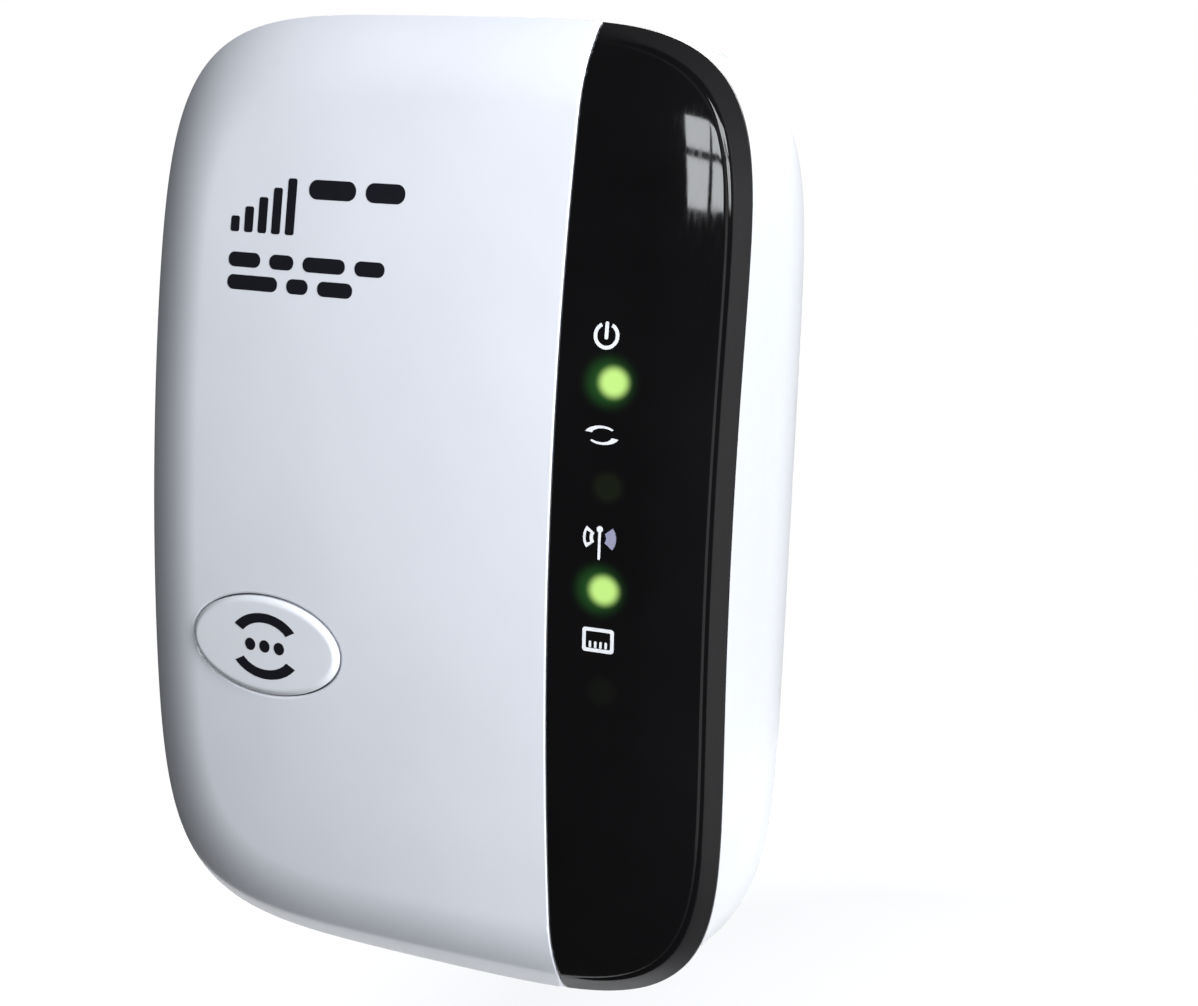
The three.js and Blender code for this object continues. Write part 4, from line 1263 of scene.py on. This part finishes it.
def label_print():
    """A blank rating label: a thin ruled frame and empty lines, with no lettering."""
    low, high = mm_box("rating_label")
    face = high[1]
    middle_x, _, middle_z = mm_centre("rating_label")
    width, _, height = high - low

    def surface(x, z):
        return np.full(np.shape(x), face)

    def behind(x, z):
        return np.full(np.shape(x), face + 0.03)

    def lay(name, loops):
        obj = height_solid(name, [moved(loop, middle_x, middle_z) for loop in loops], (), surface, behind)
        finish_piece(obj, "ink_grey")

    lay("label_frame", [rounded_rectangle(width - less, height - less, 0.8) for less in (2, 2.6)])
    for index, length in enumerate((30, 26, 33, 22)):
        line = rounded_rectangle(length, 0.7, 0.3)
        line = moved(line, (width - length) / 2 - 3.5, height / 2 - 5 - 4 * index)
        lay(f"label_line_{index + 1}", [line])


# ---- Carried-over CAD nodes ----

# Material, bevel width in millimetres, and the CAD nodes that get them.
KEPT = (
    ("label", 0.06, "rating_label"),
    ("carrier", 0.45, "plug_carrier"),
    ("nickel", 0.22, "plug_blade_left plug_blade_right"),
    ("lead_white", 0, "neutral_lead"),
    ("lead_black", 0, "live_lead"),
    ("board_green", 0.1, "main_board"),
    ("chip", 0.12, "soc_chip"),
    ("pad", 0.1, "thermal_pad"),
    ("sink", 0.15, "heat_sink"),
    ("chip", 0.1, "memory_chip flash_chip supply_controller"),
    ("can", 0.2, "clock_crystal"),
    ("chip", 0.2, "lan_transformer"),
    ("antenna", 0.05, "antenna_2g antenna_5g"),
    ("lens", 0.15, "led_power led_sync led_signal led_ethernet"),
    ("baffle", 0.15, "light_baffle"),
    ("switch", 0.2, "wps_switch_body reset_switch_body"),
    ("plunger_white", 0.12, "wps_switch_plunger"),
    ("plunger_red", 0.12, "reset_switch_plunger"),
    ("jack", 0.22, "ethernet_jack"),
    ("gold", 0.06, "ethernet_contacts"),
    ("board_tan", 0.1, "power_board"),
    ("steel", 0.1, "power_board_screw_1 power_board_screw_2"),
    ("ferrite", 0.25, "transformer_core"),
    ("tape", 0.3, "transformer_winding"),
    ("sleeve", 0.35, "bulk_capacitor_1 bulk_capacitor_2"),
    ("sleeve_green", 0.3, "output_capacitor"),
    ("ferrite", 0.15, "filter_choke"),
    ("resistor", 0.4, "fuse_resistor"),
    ("chip", 0.15, "bridge_rectifier"),
    ("disc", 0.6, "safety_capacitor"),
    ("switch", 0.08, "board_link"),
)


def dress_kept_nodes():
    for material, bevel, names in KEPT:
        for name in names.split():
            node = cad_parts[name]
            node.data.materials.clear()
            node.data.materials.append(MATERIALS[material])
            if bevel:
                soften(node, bevel)
            else:
                smooth(node, 40)


# ---- Studio ----

FLOOR_Z = -200.0
FLOOR_RADIUS = 330.0
FLOOR_BACK = 300.0
FLOOR_FADE_START = 0.45
FLOOR_RIM_GLOW = 0.5


def floor_material():
    """A pale matt laminate with a barely visible grain, which brightens into the backdrop at its rim."""
    n = Nodes("floor_pale")
    n.set(Base_Color=n.blend(n.noise(60, 2), (0.88, 0.88, 0.89), (0.85, 0.85, 0.86)), Roughness=0.8)
    n.set(Normal=n.bump(n.noise(1.2, 2), 0.02, 0.3))
    away = n.vector("DISTANCE", n.place, (0, FLOOR_BACK * MM, FLOOR_Z * MM))
    rim = n.spread(away, 0, FLOOR_RIM_GLOW, FLOOR_FADE_START * FLOOR_RADIUS * MM, FLOOR_RADIUS * MM)
    n.set(Emission_Color=(1.0, 1.0, 1.0), Emission_Strength=rim)
    return n.material


def make_floor():
    """A pale round table top, below the case and running back behind it."""
    rings = []
    for radius, drop in ((FLOOR_RADIUS, 8), (FLOOR_RADIUS, 2), (FLOOR_RADIUS - 2, 0)):
        loop = moved(disc(radius, 128), 0, FLOOR_BACK)
        rings.append(np.column_stack([loop, np.full(len(loop), FLOOR_Z - drop)]))
    floor = loop_loft("floor", rings)
    smooth(floor)
    floor.data.materials.append(floor_material())


AMBIENT = 0.05
LIGHT_AIM = Vector((0, -20, 0))
COOL_WHITE = (0.94, 0.97, 1)


def softbox(name, azimuth, elevation, distance, width, height, watts, color=(1, 1, 1)):
    """A rectangular light aimed at the case."""
    data = bpy.data.lights.new(name, "AREA")
    data.shape = "RECTANGLE"
    data.size = width * MM
    data.size_y = height * MM
    data.energy = watts
    data.color = color
    light = add_object(name, data)
    back = direction(azimuth, elevation)
    turn = back.to_track_quat("Z", "Y").to_matrix().to_4x4()
    light.matrix_world = Matrix.Translation(LIGHT_AIM * MM + back * distance * MM) @ turn
    return light


def make_world():
    """White behind the object, and a dim even light on it."""
    world = bpy.data.worlds.new("studio")
    world.use_nodes = True
    tree = world.node_tree
    tree.nodes.clear()
    mix = tree.nodes.new("ShaderNodeMixShader")
    path = tree.nodes.new("ShaderNodeLightPath")
    tree.links.new(path.outputs["Is Camera Ray"], mix.inputs[0])
    for index, (color, strength) in enumerate((((0.93, 0.96, 1, 1), AMBIENT), ((1, 1, 1, 1), 1.0))):
        background = tree.nodes.new("ShaderNodeBackground")
        background.inputs["Color"].default_value = color
        background.inputs["Strength"].default_value = strength
        tree.links.new(background.outputs[0], mix.inputs[index + 1])
    output = tree.nodes.new("ShaderNodeOutputWorld")
    tree.links.new(mix.outputs[0], output.inputs["Surface"])
    bpy.context.scene.world = world


WINDOW_AZIMUTHS = (11, 25)
WINDOW_ELEVATIONS = (20, 29.5)


def make_lights():
    """A key from the right, a window of four panes, and a dim wall that the strip's edge mirrors."""
    key = softbox("key", 67, 20, 700, 300, 300, 10.1, COOL_WHITE)
    key.visible_glossy = False
    for azimuth in WINDOW_AZIMUTHS:
        for elevation in WINDOW_ELEVATIONS:
            softbox("window_pane", azimuth, elevation, 700, 136, 96, 0.45, COOL_WHITE)
    softbox("right_wall", 64, -8, 600, 420, 620, 0.5)
    softbox("behind", 180, 30, 700, 500, 400, 4)


bpy.context.scene.view_settings.view_transform = "Standard"
make_camera()
make_world()
make_lights()
make_floor()
cover_face()
cover_ledge()
cover_skirt()
cover_bosses()
indicator_strip()
wps_button()
button_underside()
rear_shell()
case_screws()
title_print()
button_print()
strip_prints()
label_print()
dress_kept_nodes()
